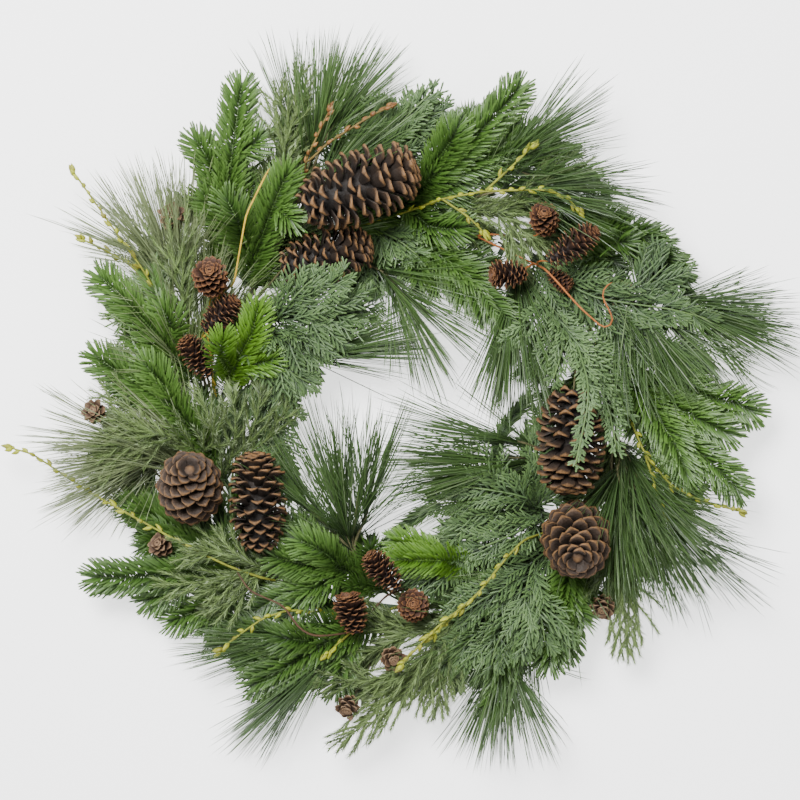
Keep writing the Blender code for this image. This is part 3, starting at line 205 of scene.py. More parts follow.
SPRAYS = [
    ("fir_upper_left", "fir", 300,
     [(232, 262, 22), (226, 215, 40), (229, 180, 50), (235, 130, 54), (243, 78, 48)],
     [((228, 205), [(212, 165, 50), (191, 133, 46)]),
      ((233, 165), [(250, 148, 56), (265, 131, 52)])]),
    ("fir_inner_left", "fir", 300,
     [(250, 268, 28), (262, 232, 46), (276, 200, 58), (292, 164, 62)],
     [((252, 262), [(226, 222, 46), (198, 188, 50)]),
      ((266, 224), [(285, 218, 64), (301, 224, 66)]),
      ((257, 245), [(240, 220, 60), (222, 192, 58)])]),
    ("fir_left_upper", "fir", 270,
     [(190, 375, 28), (165, 345, 42), (135, 310, 48), (94, 271, 42)],
     [((176, 358), [(172, 325, 52), (156, 300, 52)]),
      ((142, 317), [(126, 319, 44), (109, 312, 40)])]),
    ("fir_left", "fir", 240,
     [(212, 462, 18), (186, 420, 34), (165, 400, 44), (135, 384, 48), (89, 352, 42)],
     [((176, 410), [(160, 380, 52), (139, 359, 52)])]),
    ("fir_bright_left", "fir", 270,
     [(222, 392, 34), (234, 368, 58), (254, 332, 70), (261, 299, 68)],
     [((240, 358), [(262, 364, 60), (281, 356, 58)]),
      ((231, 376), [(222, 352, 84), (226, 330, 86)])]),
    ("fir_lower_left", "fir", 210,
     [(265, 576, 20), (210, 572, 34), (150, 577, 40), (85, 578, 36)],
     [((200, 573), [(170, 592, 32), (139, 604, 28)]),
      ((268, 577), [(228, 598, 22), (196, 610, 24), (164, 625, 24)]),
      ((225, 572), [(180, 532, 24), (150, 518, 26), (128, 512, 26)])]),
    ("fir_lower_inner", "fir", 180,
     [(372, 586, 26), (332, 570, 44), (292, 560, 52), (266, 556, 50)],
     [((350, 577), [(325, 552, 54), (290, 536, 54)]),
      ((340, 573), [(312, 588, 44), (286, 592, 42)])]),
    ("fir_bottom_left", "fir", 180,
     [(370, 628, 22), (332, 640, 36), (290, 665, 44), (246, 689, 38)],
     [((340, 637), [(343, 668, 34), (334, 698, 30)]),
      ((318, 646), [(296, 640, 52), (268, 634, 48)])]),
    ("fir_bright_bottom", "fir", 150,
     [(480, 572, 30), (452, 562, 58), (420, 560, 64), (389, 560, 62)],
     [((444, 562), [(418, 546, 50), (388, 540, 44)])]),
    ("fir_bottom", "fir", 120,
     [(572, 558, 20), (567, 600, 38), (566, 662, 36)],
     [((570, 582), [(554, 625, 44), (549, 673, 36)]),
      ((576, 545), [(540, 592, 22), (510, 640, 34), (497, 690, 36), (488, 719, 32)])]),
    ("fir_right", "fir", 60,
     [(614, 352, 24), (650, 405, 44), (695, 450, 54), (728, 478, 52), (744, 497, 46)],
     [((641, 392), [(672, 440, 62), (690, 484, 58)]),
      ((628, 372), [(668, 380, 40), (702, 392, 44), (736, 405, 42), (763, 416, 36)]),
      ((660, 415), [(695, 415, 56), (736, 438, 48)])]),
    ("fir_top", "fir", 330,
     [(365, 221, 10), (402, 204, 26), (432, 178, 50), (490, 122, 60), (524, 82, 52)],
     [((440, 170), [(472, 163, 48), (503, 151, 46)]),
      ((450, 160), [(452, 138, 66), (462, 118, 66)]),
      ((398, 206), [(432, 228, 40), (470, 226, 50)]),
      ((388, 211), [(420, 240, 26), (452, 268, 40), (484, 286, 42)])]),
    ("fir_top_right", "fir", 30,
     [(570, 238, 22), (622, 234, 40), (671, 244, 40)],
     [((628, 235), [(658, 262, 36), (689, 272, 34)]),
      ((600, 236), [(616, 242, 58), (634, 240, 60)])]),
    ("cedar_inner_top", "cedar", 300,
     [(260, 322, 34), (285, 318, 56), (315, 300, 70), (348, 272, 80)],
     [((268, 322), [(284, 352, 52), (308, 386, 52)]),
      ((300, 310), [(322, 318, 66), (348, 312, 64)])]),
    ("cedar_top", "cedar", 330,
     [(350, 192, 16), (382, 145, 32), (412, 110, 46), (436, 88, 46)],
     [((338, 206), [(368, 222, 9), (398, 238, 34), (422, 258, 42)])]),
    ("cedar_right_top", "cedar", 30,
     [(552, 275, 26), (602, 300, 56), (655, 306, 62), (714, 321, 56)],
     [((625, 304), [(648, 282, 64), (668, 263, 60)]),
      ((612, 302), [(632, 330, 60), (656, 344, 58)])]),
    ("cedar_over_cone", "cedar", 30,
     [(548, 300, 34), (577, 345, 66), (586, 395, 108), (572, 468, 112)],
     [((582, 360), [(605, 400, 76), (616, 454, 82)]),
      ((552, 304), [(532, 322, 54), (500, 346, 56)])]),
    ("cedar_inner_right", "cedar", 120,
     [(545, 516, 12), (505, 502, 38), (432, 504, 44)],
     [((520, 508), [(490, 528, 46), (452, 536, 46)]),
      ((500, 503), [(490, 482, 44), (462, 474, 42)])]),
    ("cedar_bottom", "cedar", 120,
     [(560, 546, 12), (533, 562, 40), (524, 604, 64), (519, 660, 58)],
     [((530, 570), [(500, 596, 52), (462, 664, 50)]),
      ((526, 590), [(540, 612, 66), (545, 646, 62)])]),
    ("soft_left_upper", "juniper", 270,
     [(192, 350, 26), (182, 290, 54), (186, 232, 62), (189, 186, 56)],
     [((183, 270), [(172, 240, 60), (166, 208, 58)])]),
    ("soft_left", "juniper", 240,
     [(205, 458, 20), (165, 436, 54), (125, 428, 54), (91, 434, 46)],
     [((160, 434), [(140, 450, 50), (118, 462, 46)])]),
    ("soft_lower_left", "juniper", 210,
     [(272, 570, 34), (240, 556, 62), (213, 528, 62)],
     [((250, 560), [(205, 549, 56), (168, 538, 58)]),
      ((262, 566), [(205, 582, 52), (153, 586, 52)])]),
    ("soft_top_left", "juniper", 300,
     [(264, 240, 16), (282, 180, 42), (289, 112, 50), (304, 62, 44)],
     [((288, 130), [(280, 105, 54), (282, 80, 50)])]),
    ("soft_right", "juniper", 90,
     [(620, 470, 14), (620, 545, 30), (624, 600, 42), (629, 664, 36)], []),
    ("soft_bottom", "juniper", 150,
     [(460, 630, 26), (412, 680, 44), (372, 715, 46), (329, 750, 38)],
     [((446, 644), [(438, 682, 36), (443, 719, 34)]),
      ((400, 690), [(352, 680, 46), (311, 686, 44)])]),
    ("soft_top_right", "juniper", 0,
     [(460, 210, 24), (500, 212, 50), (540, 184, 62)],
     [((505, 210), [(520, 235, 60), (524, 262, 66)])]),
    ("pine_upper_left", "pine", 300, [(278, 250, 18), (300, 200, 26), (321, 116, 38)], []),
    ("pine_top_right", "pine", 0, [(460, 195, 22), (500, 162, 42), (524, 148, 46)],
     [((468, 188), [(510, 187, 44), (548, 190, 54)])]),
    ("pine_right_upper", "pine", 30, [(582, 262, 22), (645, 292, 34), (715, 318, 42)], []),
    ("pine_right_lower", "pine", 90, [(617, 440, 22), (628, 480, 36), (650, 522, 44)],
     [((616, 432), [(612, 480, 34), (622, 524, 44)])]),
    ("pine_bottom", "pine", 120, [(548, 570, 18), (512, 620, 26), (497, 678, 30)], []),
    ("pine_bottom_left", "pine", 180, [(366, 640, 18), (326, 655, 26), (298, 684, 30)],
     [((350, 646), [(305, 640, 30), (272, 642, 32)])]),
    ("pine_left_pale", "pine", 240, [(205, 468, 14), (172, 450, 20), (138, 456, 26)], []),
    ("pine_upper_pale", "pine", 270, [(196, 350, 14), (180, 295, 20), (164, 244, 26)], []),
    ("pine_hole_top", "pine", 330, [(348, 252, 9), (385, 272, 30), (407, 300, 40)], []),
    ("pine_hole_bottom", "pine", 180, [(372, 582, 18), (350, 548, 34), (338, 506, 42)], []),
    ("pine_hole_right", "pine", 90, [(590, 442, 10), (560, 456, 14), (530, 463, 26), (492, 470, 36)],
     []),
    ("pine_hole_down", "pine", 30, [(518, 268, 20), (511, 308, 34)], []),
    ("pine_hole_left", "pine", 270, [(245, 388, 18), (290, 360, 28), (326, 353, 32)], []),
]


def on_board(point):
    """A place on the layout board, as x to the right, y up the board and z off it."""
    return np.array([point[0] - BOARD_HALF, BOARD_HALF - point[1], point[2]], float)


def unit(vector):
    return vector / np.linalg.norm(vector)


def square_to(vector, along):
    """The part of a vector that is at right angles to a direction, as a unit vector."""
    left = vector - along * (vector @ along)
    if np.linalg.norm(left) < 1e-6:
        left = np.cross(along, (0.3, 0.5, 0.8))
    return unit(left)


def bend(points, before):
    """A smooth line through the points, as short chords, starting out as if it came from `before`."""
    knots = [np.array(before, float)] + [np.array(p, float) for p in points]
    knots.append(2 * knots[-1] - knots[-2])
    line = []
    for i in range(1, len(knots) - 2):
        a, b, c, d = knots[i - 1 : i + 3]
        u = math.sqrt(np.linalg.norm(b - a))
        v = math.sqrt(np.linalg.norm(c - b))
        w = math.sqrt(np.linalg.norm(d - c))
        start = ((b - a) / u - (c - a) / (u + v) + (c - b) / v) * v
        stop = ((c - b) / v - (d - b) / (v + w) + (d - c) / w) * v
        pieces = max(2, math.ceil(np.linalg.norm(c - b) / CHORD))
        for k in range(pieces):
            t = k / pieces
            line.append(
                (2 * t**3 - 3 * t**2 + 1) * b
                + (t**3 - 2 * t**2 + t) * start
                + (3 * t**2 - 2 * t**3) * c
                + (t**3 - t**2) * stop
            )
    line.append(knots[-2])
    return np.array(line)


def simplify(line, sag):
    """The fewest points of a line whose straight chords stay within a sag of it."""
    kept = [0]
    while kept[-1] < len(line) - 1:
        a = kept[-1]
        b = len(line) - 1
        while b > a + 1:
            chord = unit(line[b] - line[a])
            away = line[a + 1 : b] - line[a]
            off = away - np.outer(away @ chord, chord)
            if np.linalg.norm(off, axis=1).max() < sag:
                break
            b -= 1
        kept.append(b)
    return line[kept]


class Shoot:
    """The line of a stem of the solids, with a cross-section that turns as little as it can along it."""

    def __init__(self, points, before, side, halves):
        self.line = simplify(bend(points, before), SAG)
        steps = np.diff(self.line, axis=0)
        chords = np.linalg.norm(steps, axis=1)
        self.marks = np.concatenate([[0.0], np.cumsum(chords)])
        self.length = self.marks[-1]
        ways = steps / chords[:, None]
        self.ways = np.vstack([ways[:1], ways[1:] + ways[:-1], ways[-1:]])
        self.ways /= np.linalg.norm(self.ways, axis=1)[:, None]
        self.halves = halves
        turned = square_to(np.array(side, float), self.ways[0])
        sides = []
        for way in self.ways:
            turned = square_to(turned, way)
            sides.append(turned)
        self.sides = np.array(sides)
        self.kids = []
        self.cone = None
        self.lane = None

    def at(self, length):
        """Place, direction and the two cross-section axes at a length along the stem."""
        rows = (self.line, self.ways, self.sides)
        place, way, side = (np.array([np.interp(length, self.marks, c) for c in row.T]) for row in rows)
        way = unit(way)
        side = square_to(side, way)
        return place, way, side, np.cross(way, side)

    def stops(self):
        """Lengths along the stem that cut each straight chord into short even pieces."""
        out = [0.0]
        for s, e in zip(self.marks[:-1], self.marks[1:]):
            pieces = math.ceil((e - s) / PROBE)
            out += [s + (e - s) * (k + 1) / pieces for k in range(pieces)]
        return out

    def half(self, length):
        first, last = self.halves
        return first + (last - first) * min(length / self.length, 1.0)

    def nearest(self, spot):
        """The length along the stem that is nearest to a spot on the board."""
        flat = on_board((spot[0], spot[1], 0))[:2]
        miss = np.linalg.norm(self.line[:, :2] - flat, axis=1)
        first, last = KID_ENDS
        return float(np.clip(self.marks[miss.argmin()], first + 1, self.length - (last + 1)))

    def family(self):
        """The stem itself and its side stems."""
        return [self] + [kid for _, kid in self.kids]


class Rods:
    """Every stem, cone, prong and wire already placed, as tapered rods to keep clear of."""

    def __init__(self, most=16000):
        self.count = 0
        self.feet = np.zeros((most, 3))
        self.heads = np.zeros((most, 3))
        self.foot_halves = np.zeros(most)
        self.head_halves = np.zeros(most)
        self.nodes = np.zeros(most, int)
        self.stems = np.zeros(most, int)

    def add(self, foot, head, foot_half, head_half, node, stem):
        n = self.count
        self.feet[n] = foot
        self.heads[n] = head
        self.foot_halves[n] = foot_half
        self.head_halves[n] = head_half
        self.nodes[n] = node
        self.stems[n] = stem
        self.count += 1

    def room(self, foot, head, foot_half, head_half, use):
        """The least distance between the skin of one rod and those of the rods in use."""
        n = np.flatnonzero(use)
        if not len(n):
            return math.inf
        mine = head - foot
        other = self.heads[n] - self.feet[n]
        gap = foot - self.feet[n]
        mine_mine = mine @ mine + 1e-12
        other_other = np.einsum("ij,ij->i", other, other) + 1e-12
        other_gap = np.einsum("ij,ij->i", other, gap)
        gap_mine = gap @ mine
        other_mine = other @ mine
        under = mine_mine * other_other - other_mine * other_mine
        over = other_mine * other_gap - gap_mine * other_other
        s = np.where(under > 1e-9, over / np.where(under > 1e-9, under, 1), 0)
        s = np.clip(s, 0, 1)
        t = np.clip((other_mine * s + other_gap) / other_other, 0, 1)
        s = np.clip((other_mine * t - gap_mine) / mine_mine, 0, 1)
        apart = gap + s[:, None] * mine - t[:, None] * other
        skin = foot_half + (head_half - foot_half) * s
        skin = skin + self.foot_halves[n] + (self.head_halves[n] - self.foot_halves[n]) * t
        return float((np.linalg.norm(apart, axis=1) - skin).min())

    def near(self, foot, head, reach):
        """Which rods have any chance of being within reach of a rod."""
        low = np.minimum(foot, head) - reach
        high = np.maximum(foot, head) + reach
        feet = self.feet[: self.count]
        heads = self.heads[: self.count]
        thick = np.maximum(self.foot_halves, self.head_halves)[: self.count, None]
        hit = (np.maximum(feet, heads) + thick > low) & (np.minimum(feet, heads) - thick < high)
        return hit.all(axis=1)


# The node number of the wire frame, its stem number, and the first stem number of twigs and sprays.
FRAME = 0
NO_STEM = 0
FIRST_GREEN_STEM = 100
rods = Rods()


def clamp_axes(clock):
    """The middle of a clamp, the way the stems run there and the way out from the ring."""
    angle = math.radians(clock)
    out = np.array([math.sin(angle), math.cos(angle), 0.0])
    way = np.array([math.cos(angle), -math.sin(angle), 0.0])
    centre = on_board((*RING_AT, 0.0)) + out * RING_RADIUS
    return centre, way, out


def lanes_of(pieces):
    """The place of each piece in its clamp, so that stems which head outwards lie outermost."""
    lanes = {}
    for clock in sorted({piece.clock for piece in pieces}):
        centre, way, out = clamp_axes(clock)
        here = [piece for piece in pieces if piece.clock == clock]

        def heading(piece):
            first = on_board(piece.line[0]) - centre
            return math.atan2(first @ out, first @ way)

        here.sort(key=heading)
        for i, piece in enumerate(here):
            lanes[piece.name] = (i - (len(here) - 1) / 2) * LANE_PITCH
    return lanes


def stem_is_clear(shoot, node, number, clamped, skip):
    """Whether a stem keeps clear of all that is placed, of the board and of its own other stems."""
    stops = shoot.stops()
    places = [shoot.at(s)[0] for s in stops]
    for s, e, foot, head in zip(stops, stops[1:], places, places[1:]):
        foot_half = shoot.half(s)
        head_half = shoot.half(e)
        if min(foot[2] - foot_half, head[2] - head_half) < LOWEST:
            return False
        near = rods.near(foot, head, NEAR)
        near &= rods.stems[: rods.count] != number
        if s < skip:
            near &= rods.nodes[: rods.count] != node
        if s < LANE_ZONE and clamped:
            wire = near & (rods.nodes[: rods.count] == FRAME)
            near &= ~wire
            if rods.room(foot, head, 0.0, 0.0, wire) < LEAST_OVER_WIRE:
                return False
        if rods.room(foot, head, foot_half * CORNER, head_half * CORNER, near) < STEM_CLEAR:
            return False
    return True


def set_stem(shoot, node, number):
    """Keeps a stem's place, as rods."""
    stops = shoot.stops()
    for s, e in zip(stops[:-1], stops[1:]):
        halves = (shoot.half(s) * CORNER, shoot.half(e) * CORNER)
        rods.add(shoot.at(s)[0], shoot.at(e)[0], *halves, node, number)


def moved(points, rng, amount, keep_last):
    """The points shifted at random, the first and if wanted the last one less than the others."""
    out = []
    for i, point in enumerate(points):
        share = LAST_SHARE if keep_last and i == len(points) - 1 else 1.0
        share = min(share, FIRST_SHARE) if i == 0 else share
        flat = amount * share
        shift = [rng.uniform(-most, most) for most in (flat, flat, 2 * flat)]
        place = np.array(point, float) + shift
        place[2] = max(place[2], LOWEST + KNOT_RISE)
        out.append(place)
    return out


def cone_reach(share, radius):
    """How far out the scales reach at a share of the way from the base to the tip."""
    return radius * np.sin(np.pi * (0.07 + 0.88 * share)) ** 0.6


def set_cone(base, tip, radius, node):
    """Keeps a cone's place, as a row of balls along its axis."""
    length = np.linalg.norm(tip - base)
    for share in np.linspace(0.04, 0.96, 11):
        ends = min(share * length + CONE_END, (1 - share) * length + CONE_END)
        wide = min(cone_reach(share, radius), ends) + CONE_MARGIN
        place = base + (tip - base) * share
        rods.add(place, place, wide, wide, node, node)


def side_start(parent, length, first):
    """Where a side stem leaves: the face of the stem that looks most towards its first point."""
    place, way, side, up = parent.at(length)
    toward = first - place
    out = max([side, -side, up, -up], key=lambda face: face @ toward)
    return place, way, out, place + out * parent.half(length)


def grow_side(parent, spot, points, halves, node, number, rng, cone=None):
    """Finds room for a side stem, moving its line a little further at each try."""
    length = parent.nearest(spot)
    first, last = KID_ENDS
    target = [on_board(p) for p in points] + ([cone[0]] if cone else [])
    for attempt in range(TRIES):
        amount = attempt * STEM_DRIFT
        s = float(np.clip(length + rng.uniform(-1, 1) * amount, first, parent.length - last))
        if any(abs(s - other) < 2 * KID_HALF + KID_GAP for other, _ in parent.kids):
            continue
        line = moved(target, rng, amount, True)
        if cone:
            line[-1] = cone[0]
        place, way, out, start = side_start(parent, s, line[0])
        lead = start + out * KID_LEAD + unit(line[0] - start) * KID_LEAD
        shoot = Shoot([start, lead] + line, place, way, halves)
        if stem_is_clear(shoot, node, number, False, KID_FOOT):
            shoot.cone = cone
            parent.kids.append((s, shoot))
            set_stem(shoot, node, number)
            return
    raise RuntimeError(f"no room for a side stem at {spot}")


def grow_main(piece, lane, node, number, rng, cone=None):
    """Finds room for the main stem of a piece, from its lane in the clamp to its tip."""
    centre, way, out = clamp_axes(piece.clock)
    root = centre + out * lane + np.array([0.0, 0.0, LANE_RISE])
    back = root - way * LANE_BACK
    ahead = root + way * LANE_AHEAD
    halves = (STEM_HALF, STEM_HALF if cone else TIP_HALF)
    target = [on_board(p) for p in piece.line]
    for attempt in range(TRIES):
        line = moved(target, rng, attempt * STEM_DRIFT, cone is None)
        if cone:
            line.append(cone[0])
        shoot = Shoot([ahead] + line, root, out, halves)
        if stem_is_clear(shoot, node, number, True, 0.0):
            shoot.cone = cone
            shoot.lane = (back, ahead)
            set_stem(shoot, node, number)
            rods.add(back, ahead, STEM_HALF * CORNER, STEM_HALF * CORNER, node, number)
            return shoot
    raise RuntimeError(f"no room for {piece.name}")


def layout():
    """Finds a clear line for every stem, cones first, then twigs, then the green."""
    cone_pieces = [Piece(*row) for row in CONE_PIECES]
    green_pieces = [Piece(*row) for row in TWIGS + SPRAYS]
    lanes = lanes_of(cone_pieces + green_pieces)
    places = {}
    for node, piece in enumerate(cone_pieces, start=1):
        rows = [Cone(*row) for row in piece.cones]
        places[piece.name] = [(row, (on_board(row.base), on_board(row.tip), row.radius)) for row in rows]
        for _, cone in places[piece.name]:
            set_cone(*cone, node)
    woods = []
    for node, piece in enumerate(cone_pieces, start=1):
        rng = random.Random(piece.name)
        ends = [cone for row, cone in places[piece.name] if row.spot is None]
        shoot = grow_main(piece, lanes[piece.name], node, node, rng, ends[0] if ends else None)
        for spot, points in piece.sides:
            grow_side(shoot, spot, points, (TENDRIL_HALF, TIP_HALF), node, node, rng)
        for row, cone in places[piece.name]:
            if row.spot is not None:
                grow_side(shoot, row.spot, row.line, (SIDE_HALF, SIDE_HALF), node, node, rng, cone)
        woods.append((piece, shoot))
    greens = []
    numbers = itertools.count(FIRST_GREEN_STEM)
    for node, piece in enumerate(green_pieces, start=len(cone_pieces) + 1):
        rng = random.Random(piece.name)
        shoot = grow_main(piece, lanes[piece.name], node, next(numbers), rng)
        greens.append((node, piece, rng, shoot))
    for node, piece, rng, shoot in greens:
        for spot, points in piece.sides:
            grow_side(shoot, spot, points, (SIDE_HALF, TIP_HALF), node, next(numbers), rng)
    return woods, [(piece, shoot) for _, piece, _, shoot in greens]


def set_frame():
    """Keeps the places of the ring and its prongs, as rods."""
    for k in range(CLAMPS):
        centre, way, out = clamp_axes(k * 360.0 / CLAMPS)
        for sign in (1, -1):
            last = centre + out * (sign * WIRE_RADIUS)
            last[2] = WIRE_RISE + 1.0
            for away, rise in PRONG_LINE:
                place = centre + out * (sign * away)
                place[2] = rise
                for shift in PRONG_ROD_SHIFTS:
                    one = last + way * shift
                    rods.add(one, place + way * shift, PRONG_ROD, PRONG_ROD, FRAME, NO_STEM)
                last = place
    for clock in range(0, 360, RING_ROD_STEP):
        one = clamp_axes(clock)[0]
        two = clamp_axes(clock + RING_ROD_STEP)[0]
        one[2] = two[2] = WIRE_RISE
        rods.add(one, two, WIRE_RADIUS, WIRE_RADIUS, FRAME, NO_STEM)


# From here on the finish is made. The photo looks straight down on the wreath.
VIEWER = np.array([0.0, 0.0, 1.0])

# Heights at which foliage is pressed gently up off the surface and down under the top of the solids.
FLOOR_LIFT = 1.0
SOFT_FLOOR = 4.0
SOFT_TOP = 104.0
TOP_LIFT = 24.0


def lengths(vectors):
    return np.linalg.norm(vectors, axis=-1, keepdims=True)


def units(vectors):
    return vectors / np.maximum(lengths(vectors), 1e-9)


def leaned(way, out, angle):
    """Directions turned by an angle from each way towards what is square to it."""
    return way * np.cos(angle)[..., None] + out * np.sin(angle)[..., None]


def seeded(name, use):
    """Random draws that are the same at each run."""
    return np.random.default_rng(list((name + use).encode()))


def strewn(rng, tint, spread, count):
    """Tints from deep, 0, to pale, 1, strewn about one tint."""
    return np.clip(rng.normal(tint, spread, count), 0, 1)


def within_heights(points):
    """Presses what would dip below the surface gently up onto it, and what stands too high down."""
    high = points[..., 2]
    soft = SOFT_FLOOR - FLOOR_LIFT
    raised = FLOOR_LIFT + soft * np.exp(np.minimum(high - SOFT_FLOOR, 0.0) / soft)
    over = np.maximum(high - SOFT_TOP, 0.0)
    pressed = SOFT_TOP + TOP_LIFT * (1 - np.exp(-over / TOP_LIFT))
    points[..., 2] = np.where(high < SOFT_FLOOR, raised, np.where(high > SOFT_TOP, pressed, high))
    return points


def placed(name, data, place):
    """Puts an object into the scene."""
    made = bpy.data.objects.new(name, data)
    made.location = place
    bpy.context.scene.collection.objects.link(made)
    return made


class Growth:
    """The mesh of one piece while it is gathered. Each point keeps its tint, how far along and how far
    across its body it lies."""

    def __init__(self, name, paints):
        self.name = name
        self.paints = paints
        self.points = []
        self.faces = []
        self.painted = []
        self.grown = []
        self.count = 0

    def add(self, points, faces, paints, tints, shares, edges):
        """Adds n bodies of one build: their points (n, k, 3) and the faces and paints of one of them."""
        n, k = points.shape[:2]
        starts = self.count + np.arange(n)[:, None, None] * k
        self.points.append(within_heights(points).reshape(-1, 3))
        self.faces.append((faces[None] + starts).reshape(-1, 3))
        self.painted.append(np.tile(paints, n))
        grown = np.empty((n, k, 3))
        grown[..., 0] = np.asarray(tints)[:, None]
        grown[..., 1] = shares
        grown[..., 2] = edges
        self.grown.append(grown.reshape(-1, 3))
        self.count += n * k

    def finish(self, node, slot, crease=60.0):
        """Makes the piece and lets it stand for its node."""
        points = np.concatenate(self.points) * MM
        faces = np.concatenate(self.faces)
        mesh = bpy.data.meshes.new(self.name)
        mesh.vertices.add(len(points))
        mesh.vertices.foreach_set("co", points.astype(np.float32).ravel())
        mesh.loops.add(faces.size)
        mesh.loops.foreach_set("vertex_index", faces.astype(np.int32).ravel())
        mesh.polygons.add(len(faces))
        mesh.polygons.foreach_set("loop_start", np.arange(0, faces.size, 3, dtype=np.int32))
        mesh.polygons.foreach_set("material_index", np.concatenate(self.painted).astype(np.int32))
        mesh.polygons.foreach_set("use_smooth", np.ones(len(faces), bool))
        mesh.update()
        mesh.set_sharp_from_angle(angle=math.radians(crease))
        grown = mesh.attributes.new("grown", "FLOAT_VECTOR", "POINT")
        grown.data.foreach_set("vector", np.concatenate(self.grown).astype(np.float32).ravel())
        for paint in self.paints:
            mesh.materials.append(paint)
        piece = placed(self.name, mesh, (0.0, 0.0, 0.0))
        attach(piece, "root")
        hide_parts(node)


# Cross-sections, as steps across and up, going round from the left over the top.
RIDGED = ((-1, 0), (0, 1), (1, 0))
STRIP = ((-1, -1), (-1, 1), (1, 1), (1, -1))


def rounded(sides):
    """A round cross-section with so many sides."""
    turns = [math.pi - 2 * math.pi * i / sides for i in range(sides)]
    return tuple((math.cos(turn), math.sin(turn)) for turn in turns)


ROUND_STEM = rounded(6)
ROUND_CORE = rounded(8)
ROUND_WIRE = rounded(12)


def skin_of(stations, sides, paints, closed=False):
    """The faces of a body drawn through so many cross-sections, to a point at its last station."""
    faces = []
    painted = []
    last = stations if closed else stations - 2
    for k in range(last):
        after = (k + 1) % stations
        for i in range(sides):
            j = (i + 1) % sides
            a, b = k * sides + i, k * sides + j
            c, d = after * sides + i, after * sides + j
            faces += [(a, c, d), (a, d, b)]
            painted += [paints[i % len(paints)]] * 2
    if not closed:
        tip = (stations - 1) * sides
        for i in range(sides):
            j = (i + 1) % sides
            faces.append((tip - sides + i, tip, tip - sides + j))
            painted.append(paints[i % len(paints)])
        for i in range(1, sides - 1):
            faces.append((0, i, i + 1))
            painted.append(paints[0])
    return np.array(faces), np.array(painted)


def grow(growth, lines, tops, wides, thicks, section, paints, tints, closed=False):
    """Draws n bodies along their middle lines (n, k, 3), as wide and thick as given at each station."""
    n, k = lines.shape[:2]
    ways = units(np.roll(lines, -1, 1) - np.roll(lines, 1, 1) if closed else np.gradient(lines, axis=1))
    across = units(np.cross(tops, ways))
    over = np.cross(ways, across)
    flat = np.array(section)
    body = (
        lines[:, :, None]
        + across[:, :, None] * (wides[:, :, None] * flat[:, 0])[..., None]
        + over[:, :, None] * (thicks[:, :, None] * flat[:, 1])[..., None]
    )
    faces, painted = skin_of(k, len(section), paints, closed)
    shares = np.repeat(np.linspace(0, 1, k), len(section))
    edges = np.tile(np.abs(flat[:, 0]), k)
    points = body.reshape(n, -1, 3)
    if not closed:
        keep = (k - 1) * len(section)
        points = np.concatenate([points[:, :keep], lines[:, -1:]], axis=1)
        shares = np.append(shares[:keep], 1.0)
        edges = np.append(edges[:keep], 0.0)
    growth.add(points, faces, painted, tints, shares, edges)


def grow_one(growth, line, tops, wide, thick, section, paint, tint, closed=False):
    """Draws a single body along its middle line."""
    count = len(line)
    tops = np.broadcast_to(tops, (1, count, 3))
    wides = np.broadcast_to(wide, (1, count))
    thicks = np.broadcast_to(thick, (1, count))
    grow(growth, line[None], tops, wides, thicks, section, [paint], [tint], closed)


def bows(feet, ways, ends, longs, stops):
    """Middle lines that set out along their ways and bend round to their ends."""
    t = np.array(stops)[None, :, None]
    one = (ways * longs[:, None])[:, None]
    two = (ends * longs[:, None])[:, None]
    return feet[:, None] + one * t + (two - one) * t**2 / 2


def leaves(growth, feet, ways, ends, tops, longs, wide, thick, profile, section, paints, tints):
    """Needles, scaly twigs or buds: n bowed bodies whose sizes follow one profile of (share, size)."""
    stops, sizes = np.array(profile).T
    lines = bows(feet, ways, ends, longs, stops)
    tall = np.broadcast_to(tops[:, None], lines.shape)
    wides = np.asarray(wide)[..., None] * sizes * np.ones((len(feet), 1))
    thicks = np.asarray(thick)[..., None] * sizes * np.ones((len(feet), 1))
    grow(growth, lines, tall, wides, thicks, section, paints, tints)


class Axis:
    """A stem's smooth middle line, and the directions across it and towards the viewer."""

    def __init__(self, line):
        self.line = line
        self.marks = np.concatenate([[0.0], np.cumsum(lengths(np.diff(line, axis=0))[:, 0])])
        self.length = self.marks[-1]

    def place(self, s):
        return np.stack([np.interp(s, self.marks, c) for c in self.line.T], -1)

    def soft(self, marks, shifts):
        """Places at lengths along the line, with its bends rounded off."""
        return sum(self.place(np.clip(marks + shift, 0, self.length)) for shift in shifts) / len(shifts)

    def at(self, s):
        """Place, direction, direction across and direction towards the viewer at each length."""
        way = units(self.place(np.minimum(s + 3, self.length)) - self.place(np.maximum(s - 3, 0)))
        across = np.cross(VIEWER, way)
        across = units(np.where(lengths(across) < 0.05, np.array([1.0, 0.3, 0.0]), across))
        return self.place(s), way, across, np.cross(way, across)


def axis_of(shoot):
    """The stem of the solids with its bends rounded off."""
    marks = np.linspace(0.0, shoot.length, max(4, int(shoot.length / 5)))
    line = Axis(shoot.line).soft(marks, (-6, -3, 0, 3, 6))
    line[0] = shoot.line[0]
    line[-1] = shoot.line[-1]
    return Axis(line)


# How uneven a woody stem is, and the length of its stations, knotty or smooth.
KNOTTY = 0.15
KNOT_GAP = 6
SMOOTH_GAP = 11


def draw_stem(growth, axis, first, last, paint, tint, knots=0.0, rng=None):
    """A round stem that tapers along its line, knotty if wanted."""
    gap = KNOT_GAP if knots else SMOOTH_GAP
    marks = np.linspace(0.0, axis.length, max(4, int(axis.length / gap)))
    place, _, _, face = axis.at(marks)
    half = np.interp(marks, [0, axis.length], [first, last])
    if knots:
        half = half * (1 + knots * rng.uniform(-1, 1, len(marks)))
    grow_one(growth, place, face, half, half, ROUND_STEM, paint, tint)


